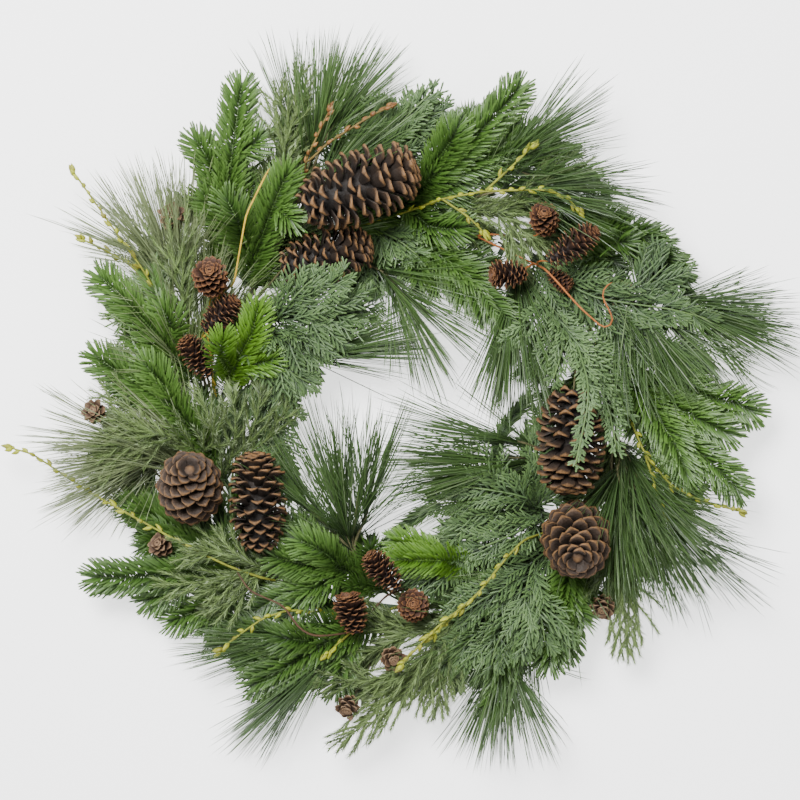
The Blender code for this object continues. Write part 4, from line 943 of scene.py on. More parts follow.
# What sets a piece apart from its kind: its tint from deep to pale, the length and spread of its
# needles or twigs, the bundles of its main tuft, and whether fill shoots grow along it.
HABITS = {
    "fir_bright_left": {"fill": False, "long": 26.0},
    "fir_bright_bottom": {"fill": False, "long": 26.0},
    "fir_right": {"tint": 0.62},
    "fir_top_right": {"tint": 0.12},
    "fir_top": {"tint": 0.42},
    "fir_left": {"tint": 0.58},
    "fir_left_upper": {"tint": 0.6},
    "fir_bottom_left": {"tint": 0.3},
    "fir_bottom": {"tint": 0.36},
    "cedar_over_cone": {"fill": False, "long": 21.0, "tint": 0.75},
    "cedar_right_top": {"tint": 0.28},
    "cedar_inner_top": {"tint": 0.55},
    "soft_bottom": {"tint": 0.25},
    "soft_right": {"tint": 0.4},
    "soft_lower_left": {"tint": 0.6},
    "soft_left_upper": {"tint": 0.75},
    "pine_upper_left": {"spread": 0.8, "tint": 0.75},
    "pine_right_upper": {"fill": False, "long": 104.0, "spread": 0.95, "bundles": 84},
    "pine_right_lower": {"spread": 0.9, "tint": 0.3},
    "pine_left_pale": {"bundles": 78},
    "pine_bottom_left": {"fill": False, "spread": 0.62, "bundles": 84},
    "pine_top_right": {"fill": False, "bundles": 64, "spread": 0.95},
    "pine_hole_top": {"fill": False, "bundles": 66},
    "pine_hole_bottom": {"fill": False, "tint": 0.6, "bundles": 52, "long": 116.0},
    "pine_hole_right": {"fill": False, "spread": 0.56, "bundles": 62, "tint": 0.55, "long": 124.0},
    "pine_hole_down": {"fill": False, "spread": 0.34, "bundles": 84, "tint": 0.6, "long": 130.0},
    "pine_hole_left": {"fill": False, "spread": 0.75, "bundles": 84, "tint": 0.6, "long": 116.0},
}

# Further shoots that only the finish has. Each springs from the nearest place of its piece's stem.
FURTHER = {
    "soft_left": [
        [(228, 466, 30), (236, 430, 52), (232, 392, 60)],
        [(238, 462, 30), (256, 420, 50), (262, 388, 54)],
        [(244, 470, 26), (276, 425, 44), (296, 398, 46)],
        [(214, 440, 50), (206, 410, 62), (196, 382, 60)],
        [(150, 430, 54), (116, 420, 54), (90, 422, 46)],
        [(150, 436, 50), (114, 448, 50), (88, 454, 44)],
        [(150, 428, 54), (120, 404, 54), (90, 390, 46)],
        [(140, 442, 46), (112, 464, 44), (90, 478, 40)],
    ],
    "cedar_inner_top": [
        [(262, 345, 44), (276, 380, 46), (285, 412, 46)],
        [(275, 330, 56), (300, 345, 60), (330, 352, 60)],
        [(290, 322, 60), (320, 335, 64), (350, 342, 60)],
        [(278, 318, 60), (300, 292, 74), (318, 276, 78)],
        [(262, 340, 50), (290, 372, 54), (318, 386, 54)],
        [(258, 350, 40), (248, 382, 42), (240, 418, 40)],
        [(262, 345, 40), (266, 390, 40), (272, 436, 38)],
        [(262, 345, 44), (282, 396, 42), (300, 424, 40)],
    ],
    "soft_bottom": [
        [(470, 606, 40), (430, 650, 60), (385, 690, 60)],
        [(452, 636, 40), (425, 690, 50), (416, 716, 46)],
        [(440, 650, 40), (396, 702, 50), (362, 732, 44)],
        [(452, 628, 30), (400, 640, 34), (352, 664, 38)],
        [(462, 622, 34), (410, 660, 48), (356, 700, 50)],
        [(470, 610, 34), (452, 660, 44), (448, 700, 42)],
        [(446, 650, 40), (440, 690, 44), (432, 722, 40)],
        [(404, 684, 44), (366, 722, 46), (340, 746, 40)],
        [(410, 676, 44), (372, 700, 46), (338, 732, 42)],
    ],
    "cedar_bottom": [
        [(510, 600, 50), (470, 640, 56), (440, 668, 50)],
        [(520, 580, 56), (480, 600, 66), (450, 622, 60)],
        [(524, 604, 60), (498, 640, 60), (490, 672, 56)],
    ],
    "cedar_inner_right": [
        [(540, 520, 30), (500, 540, 50), (460, 556, 50)],
        [(536, 514, 20), (546, 500, 24), (570, 502, 26)],
        [(530, 500, 40), (490, 490, 50), (450, 486, 48)],
    ],
    "cedar_over_cone": [
        [(556, 312, 46), (562, 345, 62), (550, 388, 60)],
        [(566, 330, 60), (590, 364, 72), (600, 412, 76)],
        [(572, 340, 60), (606, 372, 66), (630, 424, 64)],
        [(560, 318, 50), (548, 350, 56), (530, 380, 50)],
        [(566, 326, 56), (600, 350, 60), (634, 384, 56)],
    ],
    "soft_lower_left": [
        [(250, 562, 40), (220, 545, 56), (188, 520, 56)],
        [(236, 556, 50), (206, 552, 60), (172, 562, 56)],
        [(262, 566, 40), (232, 580, 56), (196, 598, 54)],
        [(246, 558, 50), (232, 532, 60), (236, 506, 60)],
        [(266, 568, 36), (240, 596, 54), (206, 614, 50)],
    ],
    "soft_right": [
        [(621, 556, 34), (608, 598, 40), (616, 640, 38)],
        [(622, 566, 36), (636, 608, 42), (634, 648, 38)],
        [(622, 590, 40), (620, 628, 40), (624, 660, 36)],
    ],
    "pine_hole_bottom": [
        [(345, 545, 30), (308, 508, 42)],
        [(354, 548, 30), (366, 516, 40), (372, 494, 42)],
        [(352, 546, 30), (356, 514, 42), (358, 490, 44)],
    ],
    "pine_hole_right": [
        [(556, 454, 16), (520, 442, 34), (488, 438, 38)],
        [(552, 458, 16), (512, 458, 30), (484, 460, 34)],
    ],
    "pine_left_pale": [
        [(164, 449, 24), (120, 440, 32)],
        [(164, 452, 24), (122, 478, 30)],
    ],
    "pine_upper_left": [[(304, 190, 30), (324, 140, 38), (342, 112, 40)]],
    "pine_right_upper": [
        [(610, 290, 44), (622, 338, 60)],
        [(630, 294, 44), (652, 334, 58)],
        [(640, 296, 40), (684, 336, 46)],
        [(660, 297, 38), (712, 302, 44)],
    ],
    "pine_top_right": [[(520, 172, 50), (560, 180, 52)]],
    "pine_right_lower": [
        [(630, 470, 44), (664, 500, 54)],
        [(618, 470, 40), (636, 530, 46)],
        [(632, 484, 40), (668, 522, 46), (684, 540, 44)],
    ],
    "soft_top_right": [
        [(500, 212, 44), (520, 228, 44), (536, 248, 36)],
        [(496, 212, 44), (510, 236, 40), (520, 262, 34)],
    ],
    "pine_hole_down": [[(520, 300, 34), (528, 330, 40)]],
    "fir_lower_left": [[(228, 566, 30), (224, 540, 34), (228, 520, 34)]],
    "fir_top_right": [[(640, 232, 44), (668, 262, 44), (690, 282, 40)]],
    "soft_top_left": [[(284, 150, 50), (266, 100, 50)], [(290, 130, 52), (306, 92, 50)]],
}

# The dense body of the wreath: how far from its middle it starts and ends, at each hour of a clock.
BODY_AT = (405.0, 402.0)
BODY_FROM = (108.0, 112.0, 110.0, 122.0, 124.0, 120.0, 146.0, 130.0, 132.0, 125.0, 108.0, 100.0)
BODY_TO = (300.0, 310.0, 292.0, 312.0, 310.0, 292.0, 300.0, 315.0, 312.0, 305.0, 300.0, 315.0)

# Shoots keep this clear of a cone's side, unless they run this share of its radius below its middle.
CONE_CLEAR = 1.0
CONE_SINK = 0.2
# A side shoot that doesn't fit is made shorter by this factor.
SHORTER = 0.82

# Fill shoots: the gap between two places looked at, and how far to each side a shoot hides what is
# under it, for those over the body, the under layer and pine, whose needles reach ahead of its stem.
# A stem hides what is under it from its leafy part on, and a cone what is under its middle.
FILL_CELL = 8.0
OVER_WIDE = 14.0
UNDER_WIDE = 13.5
PINE_WIDE = 12.0
PINE_BACK = 30.0
PINE_AHEAD = 55.0
COVER_STEP = 6.0
LEAFY_FROM = 20.0
CONE_RIM = 10.0
CONE_SPAN = (0.15, 0.85)
# Their height, their length, the reach and the straightness allowed, the cost of a turn and of a
# place that doesn't fit. Then how many places to spring from are tried, how far these are from a
# stem's foot, its tip and each other, how far they lead on, and how far a shoot bows.
OVER_RISE = (20.0, 44.0)
UNDER_RISE = (6.0, 16.0)
FILL_LONG = 66.0
FILL_REACH = (24.0, 105.0)
FILL_STRAIGHT = 0.15
TURN_COST = 70
NO_FIT = 1e6
FILL_FEET = 5
FOOT_FIRST = 18.0
FOOT_LAST = 8.0
FOOT_STEP = 4.0
FOOT_APART = 3.0
FOOT_LEAD = 5.0
FILL_BOW = 0.12


def in_body(places):
    """Whether each place is in the dense body of the wreath, and not in its hole or beyond its edge."""
    step = places[..., :2] - on_board((*BODY_AT, 0.0))[:2]
    away = np.linalg.norm(step, axis=-1)
    hour = np.degrees(np.arctan2(step[..., 0], step[..., 1])) / 30 % 12
    near = np.interp(hour, range(13), BODY_FROM + BODY_FROM[:1])
    far = np.interp(hour, range(13), BODY_TO + BODY_TO[:1])
    return (near < away) & (away < far)


def hides_cone(line):
    """Whether a shoot would run across the face of a cone."""
    for base, tip, radius in cones:
        along = tip[:2] - base[:2]
        away = line[:, :2] - base[:2]
        share = np.clip(away @ along / max(along @ along, 1.0), 0, 1)
        apart = np.linalg.norm(away - share[:, None] * along, axis=1)
        high = line[:, 2] > base[2] + share * (tip[2] - base[2]) - CONE_SINK * radius
        if (high & (apart < radius + CONE_CLEAR)).any():
            return True
    return False


def side_axes(parent, first, last, pitch, long, lean, rise, rng, least=24.0, free=False):
    """Side shoots to the left and right of a stem in turn, bowed forward, each as long as the body
    allows, or if free as long as the stem's taper allows."""
    found = []
    for i, s in enumerate(np.arange(first, last, pitch)):
        s = s + rng.uniform(-0.3, 0.3) * pitch
        place, way, across, face = (v[0] for v in parent.at(np.array([s])))
        lift = rng.uniform(*rise)
        turn = rng.uniform(*lean)
        reach = long * rng.uniform(0.8, 1.15)
        if free:
            reach = min(reach, 0.75 * (last - s) + least)
        out = across * ((-1) ** i * math.cos(lift)) + face * math.sin(lift)
        start = way * math.cos(turn) + out * math.sin(turn)
        end = way * math.cos(turn * 0.5) + out * math.sin(turn * 0.5)
        while reach > least * 0.9:
            ends = np.array([reach])
            line = bows(place[None], start[None], end[None], ends, np.linspace(0, 1, 7))[0]
            if (free or in_body(line[-1])) and not hides_cone(line):
                found.append(Axis(line))
                break
            reach *= SHORTER
    return found


def fill_axes(stems, use, rise, wide):
    """Fill shoots: wherever no shoot passes over the body yet, one is led there from a stem near it."""
    rng = seeded("body", use)
    over = use == "over"
    marks = np.arange(-max(BODY_TO), max(BODY_TO), FILL_CELL)
    middle = on_board((*BODY_AT, 0.0))
    cells = np.stack(np.meshgrid(marks, marks, [0.0]), -1).reshape(-1, 3) + middle
    cells = cells[in_body(cells)]
    bare = np.ones(len(cells), bool)

    def cover(line, wide):
        for place in line:
            bare[np.linalg.norm(cells[:, :2] - place[:2], axis=1) < wide] = False

    names, places, ways = [], [], []
    for name, kind, axis in stems:
        if kind == "pine":
            tip = axis.line[-1]
            ahead = tip + np.outer(np.arange(0, PINE_AHEAD, COVER_STEP), unit(tip - axis.line[-2]))
            back = axis.place(np.arange(axis.length - PINE_BACK, axis.length, COVER_STEP))
            if over:
                cover(np.concatenate([back, ahead]), PINE_WIDE)
            continue
        if over:
            cover(axis.place(np.arange(LEAFY_FROM, axis.length, COVER_STEP)), wide)
        if HABITS.get(name, {}).get("fill", True):
            marks = np.arange(FOOT_FIRST, axis.length - FOOT_LAST, FOOT_STEP)
            place, way, _, _ = axis.at(marks)
            names += [name] * len(marks)
            places.append(place)
            ways.append(way)
    for base, tip, radius in cones if over else ():
        cover(base + np.outer(np.linspace(*CONE_SPAN, 6), tip - base), radius - CONE_RIM)
    places, ways = np.concatenate(places), np.concatenate(ways)
    free = np.ones(len(places), bool)
    found = {}
    for k in rng.permutation(len(cells)):
        if not bare[k]:
            continue
        target = cells[k] + VIEWER * rng.uniform(*rise)
        step = target - places
        far = lengths(step)[:, 0]
        straight = np.einsum("ij,ij->i", step, ways) / far
        fits = free & (far > FILL_REACH[0]) & (far < FILL_REACH[1]) & (straight > FILL_STRAIGHT)
        cost = np.abs(far - FILL_LONG) + TURN_COST * (1 - straight) + np.where(fits, 0, NO_FIT)
        for best in np.argsort(cost)[:FILL_FEET]:
            start, way = places[best], ways[best]
            middle = start + (target - start) * 0.5 + way * far[best] * FILL_BOW
            line = bend([start, middle, target], start - way * FOOT_LEAD)
            if fits[best] and not hides_cone(line):
                free &= lengths(places - start)[:, 0] > FOOT_APART
                found.setdefault(names[best], []).append(Axis(line))
                cover(line, wide)
                break
    return found


def further_axes(name, parent):
    """The further shoots of a piece, from its stem through their points."""
    found = []
    for points in FURTHER.get(name, []):
        points = [on_board(point) for point in points]
        miss = np.linalg.norm(parent.line - points[0], axis=1)
        foot = max(int(miss.argmin()) - 2, 0)
        start = parent.line[foot]
        way = unit(parent.line[foot + 1] - start)
        found.append(Axis(bend([start] + points, start - way * FOOT_LEAD)))
    return found


# The angle from one leaf, bud or scale to the next round its stem.
GOLDEN = math.radians(137.508)
ROUGH_GOLDEN = math.radians(137.5)

# A green piece's paints are its bark, its green and the paler green that needles have below. Twigs,
# buds and the under layer have the green all round.
NEEDLE_PAINTS = [1, 1, 2]
ONE_GREEN = [1]

# Fir: rows of needles to the left and right of a stem, from its sides up to its top. Each row has its
# turn from the top, the gap between its needles and their share of the full length.
FIR_ROWS = [(88.0, 2.3, 1.0), (60.0, 2.5, 0.94), (32.0, 3.0, 0.74)]
FIR_FILL_ROWS = [(86.0, 2.1, 1.0), (48.0, 2.4, 0.84)]
FIR_LONG = 29.0
FIR_HALF = 0.98
FIR_THICK = 0.38
FIR_SHAPE = [(0.0, 0.7), (0.45, 1.0), (0.9, 0.9), (1.0, 0.0)]
FIR_FILL_SHAPE = [(0.0, 0.75), (0.68, 1.0), (1.0, 0.0)]
# The bare end of the stem, the round end of the feather and its narrow foot.
FIR_SHORT = 8.0
FIR_TIP = 18.0
FIR_FOOT = 16.0
# How far needles lean out, how much less they do at the tip, and the same of how far they curl in.
FIR_LEAN = (70, 48)
FIR_CURL = (40, 26)
# Half the thickness of the stem at its foot and its tip. Each foliage has its own.
FIR_STEM = (1.1, 0.7)


def fir_shoot(growth, axis, first, rng, tint, rows=FIR_ROWS, shape=FIR_SHAPE, long=FIR_LONG):
    """A feather of fir needles that curve forward from a stem, with a round end."""
    end = axis.length - FIR_SHORT
    s, turn, share = [], [], []
    for row, gap, part in rows:
        for hand in (-1, 1):
            marks = np.arange(first + gap * rng.uniform(0, 1), end, gap)
            s.append(marks + rng.normal(0, 0.3, len(marks)))
            turn.append(hand * (row + rng.normal(0, 5, len(marks))))
            share.append(np.full(len(marks), part))
    s, turn, share = np.concatenate(s), np.radians(np.concatenate(turn)), np.concatenate(share)
    count = len(s)
    place, way, across, face = axis.at(s)
    out = leaned(face, across, turn)
    to_tip = np.clip(1 - (end - s) / FIR_TIP, 0, 1)
    lean = np.radians(FIR_LEAN[0] - FIR_LEAN[1] * to_tip**2 + rng.normal(0, 3, count))
    lean_end = lean - np.radians(FIR_CURL[0] - FIR_CURL[1] * to_tip + rng.normal(0, 3, count))
    from_foot = np.clip((s - first) / FIR_FOOT, 0, 1)
    longs = long * share * (0.72 + 0.28 * from_foot) * (1 - 0.3 * to_tip**1.5)
    longs *= rng.uniform(0.94, 1.04, count)
    tops = units(face + 0.25 * out + rng.normal(0, 0.2, (count, 3)))
    leaves(growth, place, leaned(way, out, lean), leaned(way, out, lean_end), tops, longs, FIR_HALF,
           FIR_THICK, shape, RIDGED, NEEDLE_PAINTS, strewn(rng, tint, 0.15, count))
    draw_stem(growth, axis, *FIR_STEM, paint=1, tint=0.2)


# Pine: bundles of long thin needles round the last stretch of a shoot.
PINE_LONG = 108.0
PINE_HALF = 0.45
PINE_SHAPE = [(0.0, 1.0), (0.86, 0.9), (1.0, 0.0)]
PINE_SPAN = 50.0
PINE_BUNDLE = 4
PINE_BUNDLES = 62
PINE_FILL_BUNDLES = 26
# The lean of the foremost needles and how much further the last ones lean, and how round the brush is.
PINE_LEAN = (17, 24)
PINE_ROUND = 0.7
PINE_STEM = (1.5, 1.0)
# How far needles may stand past the box of the solids.
BOX_ROOM = 9.0


def cut_to_box(feet, steps, longs):
    """The lengths of needles, cut where they would reach well past the box of the solids."""
    low, high = (np.array(corner)[:2] / MM for corner in cad_box)
    flat = steps[:, :2]
    room = np.where(flat > 0, high + BOX_ROOM - feet[:, :2], feet[:, :2] - low + BOX_ROOM)
    return np.minimum(longs, (room / np.maximum(np.abs(flat), 1e-6)).min(axis=1))


def pine_tuft(growth, axis, bundles, rng, tint, spread=1.0, long=PINE_LONG):
    """A brush of pine needles, a few to a bundle."""
    span = min(PINE_SPAN, axis.length * 0.8)
    s = axis.length - span * rng.uniform(0, 1, bundles) ** 1.1
    place, way, across, face = axis.at(s)
    turn = rng.uniform(0, 2 * math.pi, bundles)
    out = face * (np.sin(turn) * PINE_ROUND)[:, None] + across * np.cos(turn)[:, None]
    back = (axis.length - s) / span
    lean = np.radians((PINE_LEAN[0] + PINE_LEAN[1] * back) * spread) * rng.uniform(0.15, 1.3, bundles)
    count = bundles * PINE_BUNDLE
    lean = np.repeat(lean, PINE_BUNDLE) + rng.normal(0, 0.07, count)
    out = units(np.repeat(out, PINE_BUNDLE, 0) + rng.normal(0, 0.16, (count, 3)))
    way = np.repeat(way, PINE_BUNDLE, 0)
    place = np.repeat(place, PINE_BUNDLE, 0) + out * 0.8
    lean_end = lean + np.repeat(rng.normal(0.02, 0.12, bundles), PINE_BUNDLE)
    ways = leaned(way, out, lean)
    ends = leaned(way, out, lean_end)
    longs = long * np.repeat(rng.uniform(0.6, 1.12, bundles), PINE_BUNDLE)
    longs = cut_to_box(place, (ways + ends) / 2, longs * rng.uniform(0.92, 1.04, count))
    tops = units(rng.normal(0, 1, (count, 3)) + VIEWER)
    leaves(growth, place, ways, ends, tops, longs, PINE_HALF, PINE_HALF, PINE_SHAPE, RIDGED,
           NEEDLE_PAINTS, strewn(rng, tint, 0.22, count))
    draw_stem(growth, axis, *PINE_STEM, paint=0, tint=0.5, knots=KNOTTY, rng=rng)


# Cedar: a flat frond of scaly twigs on scaly branchlets, all lying forward.
CEDAR_PITCH = 4.6
CEDAR_TWIG_PITCH = 3.7
CEDAR_LONG = 46.0
CEDAR_FILL_LONG = 36.0
CEDAR_HALF = 0.95
CEDAR_THICK = CEDAR_HALF * 0.6
CEDAR_BRANCH = [(0.0, 0.8), (0.3, 1.0), (0.6, 0.9), (0.92, 0.8), (1.0, 0.0)]
CEDAR_TWIG = [(0.0, 0.8), (0.8, 1.12), (1.0, 0.0)]
CEDAR_STEM = (1.3, 0.9)
# How far branchlets lean out and curl in, how far twigs lean, and a twig's length: its least one and
# the share of its branchlet's that is added.
CEDAR_LEAN = 40
CEDAR_CURL = 20
TWIG_LEAN = 36
TWIG_LEAST = 6.0
TWIG_SHARE = 0.28


def cedar_frond(growth, axis, first, rng, tint, long=CEDAR_LONG):
    """A flat spray: branchlets to left and right of the stem, each with smaller twigs along it."""
    count = int((axis.length - first) / CEDAR_PITCH)
    s = first + (np.arange(count) + rng.uniform(-0.2, 0.2, count)) * CEDAR_PITCH
    s = np.clip(s, 0, axis.length)
    place, way, across, face = axis.at(s)
    tilt = rng.normal(0, 0.2, count)
    hand = np.where(np.arange(count) % 2, 1.0, -1.0)
    out = across * (hand * np.cos(tilt))[:, None] + face * np.sin(tilt)[:, None]
    left = (axis.length - s) / max(axis.length, 1.0)
    longs = long * np.clip(0.30 + 1.3 * left, 0.3, 1.0) * rng.uniform(0.8, 1.12, count)
    lean = np.radians(rng.normal(CEDAR_LEAN, 4, count))
    lean_end = lean - np.radians(rng.normal(CEDAR_CURL, 5, count))
    ways = leaned(way, out, lean)
    ends = leaned(way, out, lean_end)
    tops = units(face + rng.normal(0, 0.22, (count, 3)))
    tints = strewn(rng, tint, 0.14, count)
    leaves(growth, place, ways, ends, tops, longs, CEDAR_HALF * 1.05, CEDAR_THICK, CEDAR_BRANCH,
           RIDGED, ONE_GREEN, tints)
    most = int(long / CEDAR_TWIG_PITCH)
    spot = (np.arange(most) + 1.2) / (most + 0.6)
    feet = bows(place, ways, ends, longs, spot)
    along = units(bows(place, ways, ends, longs, spot + 0.02) - feet)
    side = units(np.cross(tops[:, None], along))
    hand = np.where((np.arange(most)[None] + np.arange(count)[:, None]) % 2, 1.0, -1.0)
    lean = np.radians(rng.normal(TWIG_LEAN, 5, (count, most)))
    out = units(side * hand[..., None] + tops[:, None] * rng.normal(0, 0.25, (count, most))[..., None])
    ways = leaned(along, out, lean)
    ends = units(ways + along * 0.6)
    twigs = (TWIG_LEAST + longs[:, None] * TWIG_SHARE) * (1.15 - 0.55 * spot[None])
    twigs = twigs * rng.uniform(0.75, 1.2, (count, most))
    use = np.arange(most)[None] * CEDAR_TWIG_PITCH * 0.75 < longs[:, None]
    tints = np.repeat(tints[:, None], most, 1)[use] + rng.normal(0.06, 0.14, use.sum())
    leaves(growth, feet[use], ways[use], ends[use], np.broadcast_to(tops[:, None], along.shape)[use],
           twigs[use], CEDAR_HALF, CEDAR_THICK, CEDAR_TWIG, RIDGED, ONE_GREEN, np.clip(tints, 0, 1))
    draw_stem(growth, axis, *CEDAR_STEM, paint=1, tint=0.4)


# Juniper: short fine needles in whorls along soft green twigs.
NEEDLE_STEP = 0.55
JUNIPER_LONG = 10.5
JUNIPER_HALF = 0.62
JUNIPER_THICK = 0.35
JUNIPER_SHAPE = [(0.0, 1.0), (1.0, 0.0)]
JUNIPER_TIP = 16.0
JUNIPER_STEM = (1.1, 0.6)
# How far needles lean out at their feet and at their ends.
JUNIPER_LEAN = 42
JUNIPER_LEAN_END = 14


def juniper_shoot(growth, axis, first, rng, tint, long=JUNIPER_LONG, half=JUNIPER_HALF, flat=1.0,
                  paints=NEEDLE_PAINTS):
    """A soft brush of fine needles lying forward along a stem."""
    count = int((axis.length - first) / NEEDLE_STEP)
    s = first + (np.arange(count) + rng.uniform(0, 1, count)) * NEEDLE_STEP
    place, way, across, face = axis.at(s)
    turn = np.arange(count) * ROUGH_GOLDEN + rng.normal(0, 0.3, count)
    out = units(face * (flat * np.sin(turn))[:, None] + across * np.cos(turn)[:, None])
    lean = np.radians(rng.normal(JUNIPER_LEAN, 8, count))
    lean_end = np.radians(rng.normal(JUNIPER_LEAN_END, 8, count))
    to_tip = np.clip(1 - (axis.length - s) / JUNIPER_TIP, 0, 1)
    longs = long * (1 - 0.3 * to_tip) * rng.uniform(0.75, 1.2, count)
    tops = units(flat * out + (1 - flat) * face + rng.normal(0, 0.3, (count, 3)))
    leaves(growth, place, leaned(way, out, lean), leaned(way, out, lean_end), tops, longs, half,
           JUNIPER_THICK, JUNIPER_SHAPE, RIDGED, paints, strewn(rng, tint, 0.18, count))
    draw_stem(growth, axis, *JUNIPER_STEM, paint=1, tint=0.4)


# The under layer is of juniper too: shoots with long, broad needles that lie flat, tinted near the
# deepest green as painted shade deep in the wreath.
UNDER_LONG = 21.0
UNDER_HALF = 1.9
UNDER_FLAT = 0.3
UNDER_BUILD = (UNDER_LONG, UNDER_HALF, UNDER_FLAT)
UNDER_SHADE_TINT = 0.05

# Budded twigs. Buds near the tip are this far from it, the last two in line with the stem.
BUD_SHAPE = [(0.0, 0.45), (0.22, 1.0), (0.5, 0.92), (0.8, 0.5), (1.0, 0.0)]
BUD_PITCH = 10.5
BUD_LONG = 9.0
BUD_HALF = 2.5
BUD_THICK = BUD_HALF * 0.85
BUDS_AT_TIP = (6.0, 4.0, 2.5, 1.0, 0.5)
TWIG_STEM = (1.35, 0.9)
# How far buds lean out, how much less at their ends, and the lean of the last two in radians.
BUD_LEAN = 34
BUD_CURL = 20
LAST_LEAN = 0.12


def budded_twig(growth, axis, first, rng):
    """A twig with pointed buds that lie close along it, crowded near its tip."""
    draw_stem(growth, axis, *TWIG_STEM, paint=0, tint=0.5, knots=KNOTTY, rng=rng)
    count = int((axis.length - first) / BUD_PITCH)
    s = first + (axis.length - first) * ((np.arange(count) + 0.7) / count) ** 0.85
    s = np.append(s, axis.length - np.array(BUDS_AT_TIP))
    count = len(s)
    place, way, across, face = axis.at(np.clip(s, 0, axis.length))
    turn = np.arange(count) * ROUGH_GOLDEN + rng.normal(0, 0.4, count)
    out = units(face * (0.8 * np.sin(turn))[:, None] + across * np.cos(turn)[:, None])
    lean = np.radians(rng.normal(BUD_LEAN, 9, count))
    lean[-2:] = LAST_LEAN
    lean_end = lean - math.radians(BUD_CURL)
    longs = BUD_LONG * rng.uniform(0.6, 1.2, count)
    tints = strewn(rng, 0.5, 0.22, count)
    wide = BUD_HALF * rng.uniform(0.75, 1.1, count)
    leaves(growth, place + out * 0.6, leaned(way, out, lean), leaned(way, out, lean_end),
           units(out + 0.3 * face), longs, wide, BUD_THICK, BUD_SHAPE, ROUND_STEM, ONE_GREEN, tints)


# Cones: scales on a spiral round a core. The stations of a scale have their place along it, and the
# share of its full width and thickness there.
FINE_MARKS = [(0.0, 0.26, 0.5), (0.35, 0.5, 0.55), (0.62, 0.8, 0.75), (0.82, 1.0, 1.15),
              (0.94, 0.86, 1.35), (1.0, 0.42, 0.7)]
PLAIN_MARKS = [(0.0, 0.3, 0.5), (0.55, 0.75, 0.7), (0.86, 1.0, 1.25), (1.0, 0.5, 0.8)]
# Each kind of cone: a scale's stations and points across, how many scales, their width and thickness
# as shares of the cone's radius, how far they stand up at its base and its tip, and its core's share.
Kind = collections.namedtuple("Kind", "marks across scales wide thick open core")
CONE_KINDS = {
    "large": Kind(FINE_MARKS, 5, 122, 0.215, 0.07, (-16, 60), 0.46),
    "rosette": Kind(FINE_MARKS, 5, 92, 0.24, 0.07, (-18, 36), 0.4),
    "small": Kind(PLAIN_MARKS, 3, 104, 0.2, 0.06, (2, 66), 0.32),
    "tiny": Kind(PLAIN_MARKS, 3, 34, 0.3, 0.1, (8, 66), 0.34),
}
# The two large cones that show their open tips.
ROSETTES = ("cone_left_open", "cone_right_lower")
# The share of a cone's length that its scales spring from, and the stations of its core.
SCALED = 0.86
CORE_STATIONS = 9
# A scale's build: how far its sides arch up, how far it cups and how far its lip turns back, as
# shares of its half width or length. Its edges are thinner, and its lip has a knob below.
SCALE_ARCH = 0.34
SCALE_CUP = 0.16
SCALE_LIP = 0.10
EDGE_THINNER = 0.45
KNOB = 0.55


def scale_skin(rows, columns):
    """The faces of one scale: its upper side, its lower side and the rim between them."""
    lower = rows * columns
    faces = []
    for i in range(rows - 1):
        for j in range(columns - 1):
            a = i * columns + j
            b, c, d = a + 1, a + columns, a + columns + 1
            faces += [(a, c, d), (a, d, b)]
            faces += [(lower + a, lower + d, lower + c), (lower + a, lower + b, lower + d)]
    rim = [i * columns for i in range(rows)]
    rim += [(rows - 1) * columns + j for j in range(1, columns)]
    rim += [i * columns + columns - 1 for i in range(rows - 2, -1, -1)]
    rim += list(range(columns - 2, 0, -1))
    for a, b in zip(rim, rim[1:] + rim[:1]):
        faces += [(a, lower + a, lower + b), (a, lower + b, b)]
    return np.array(faces)


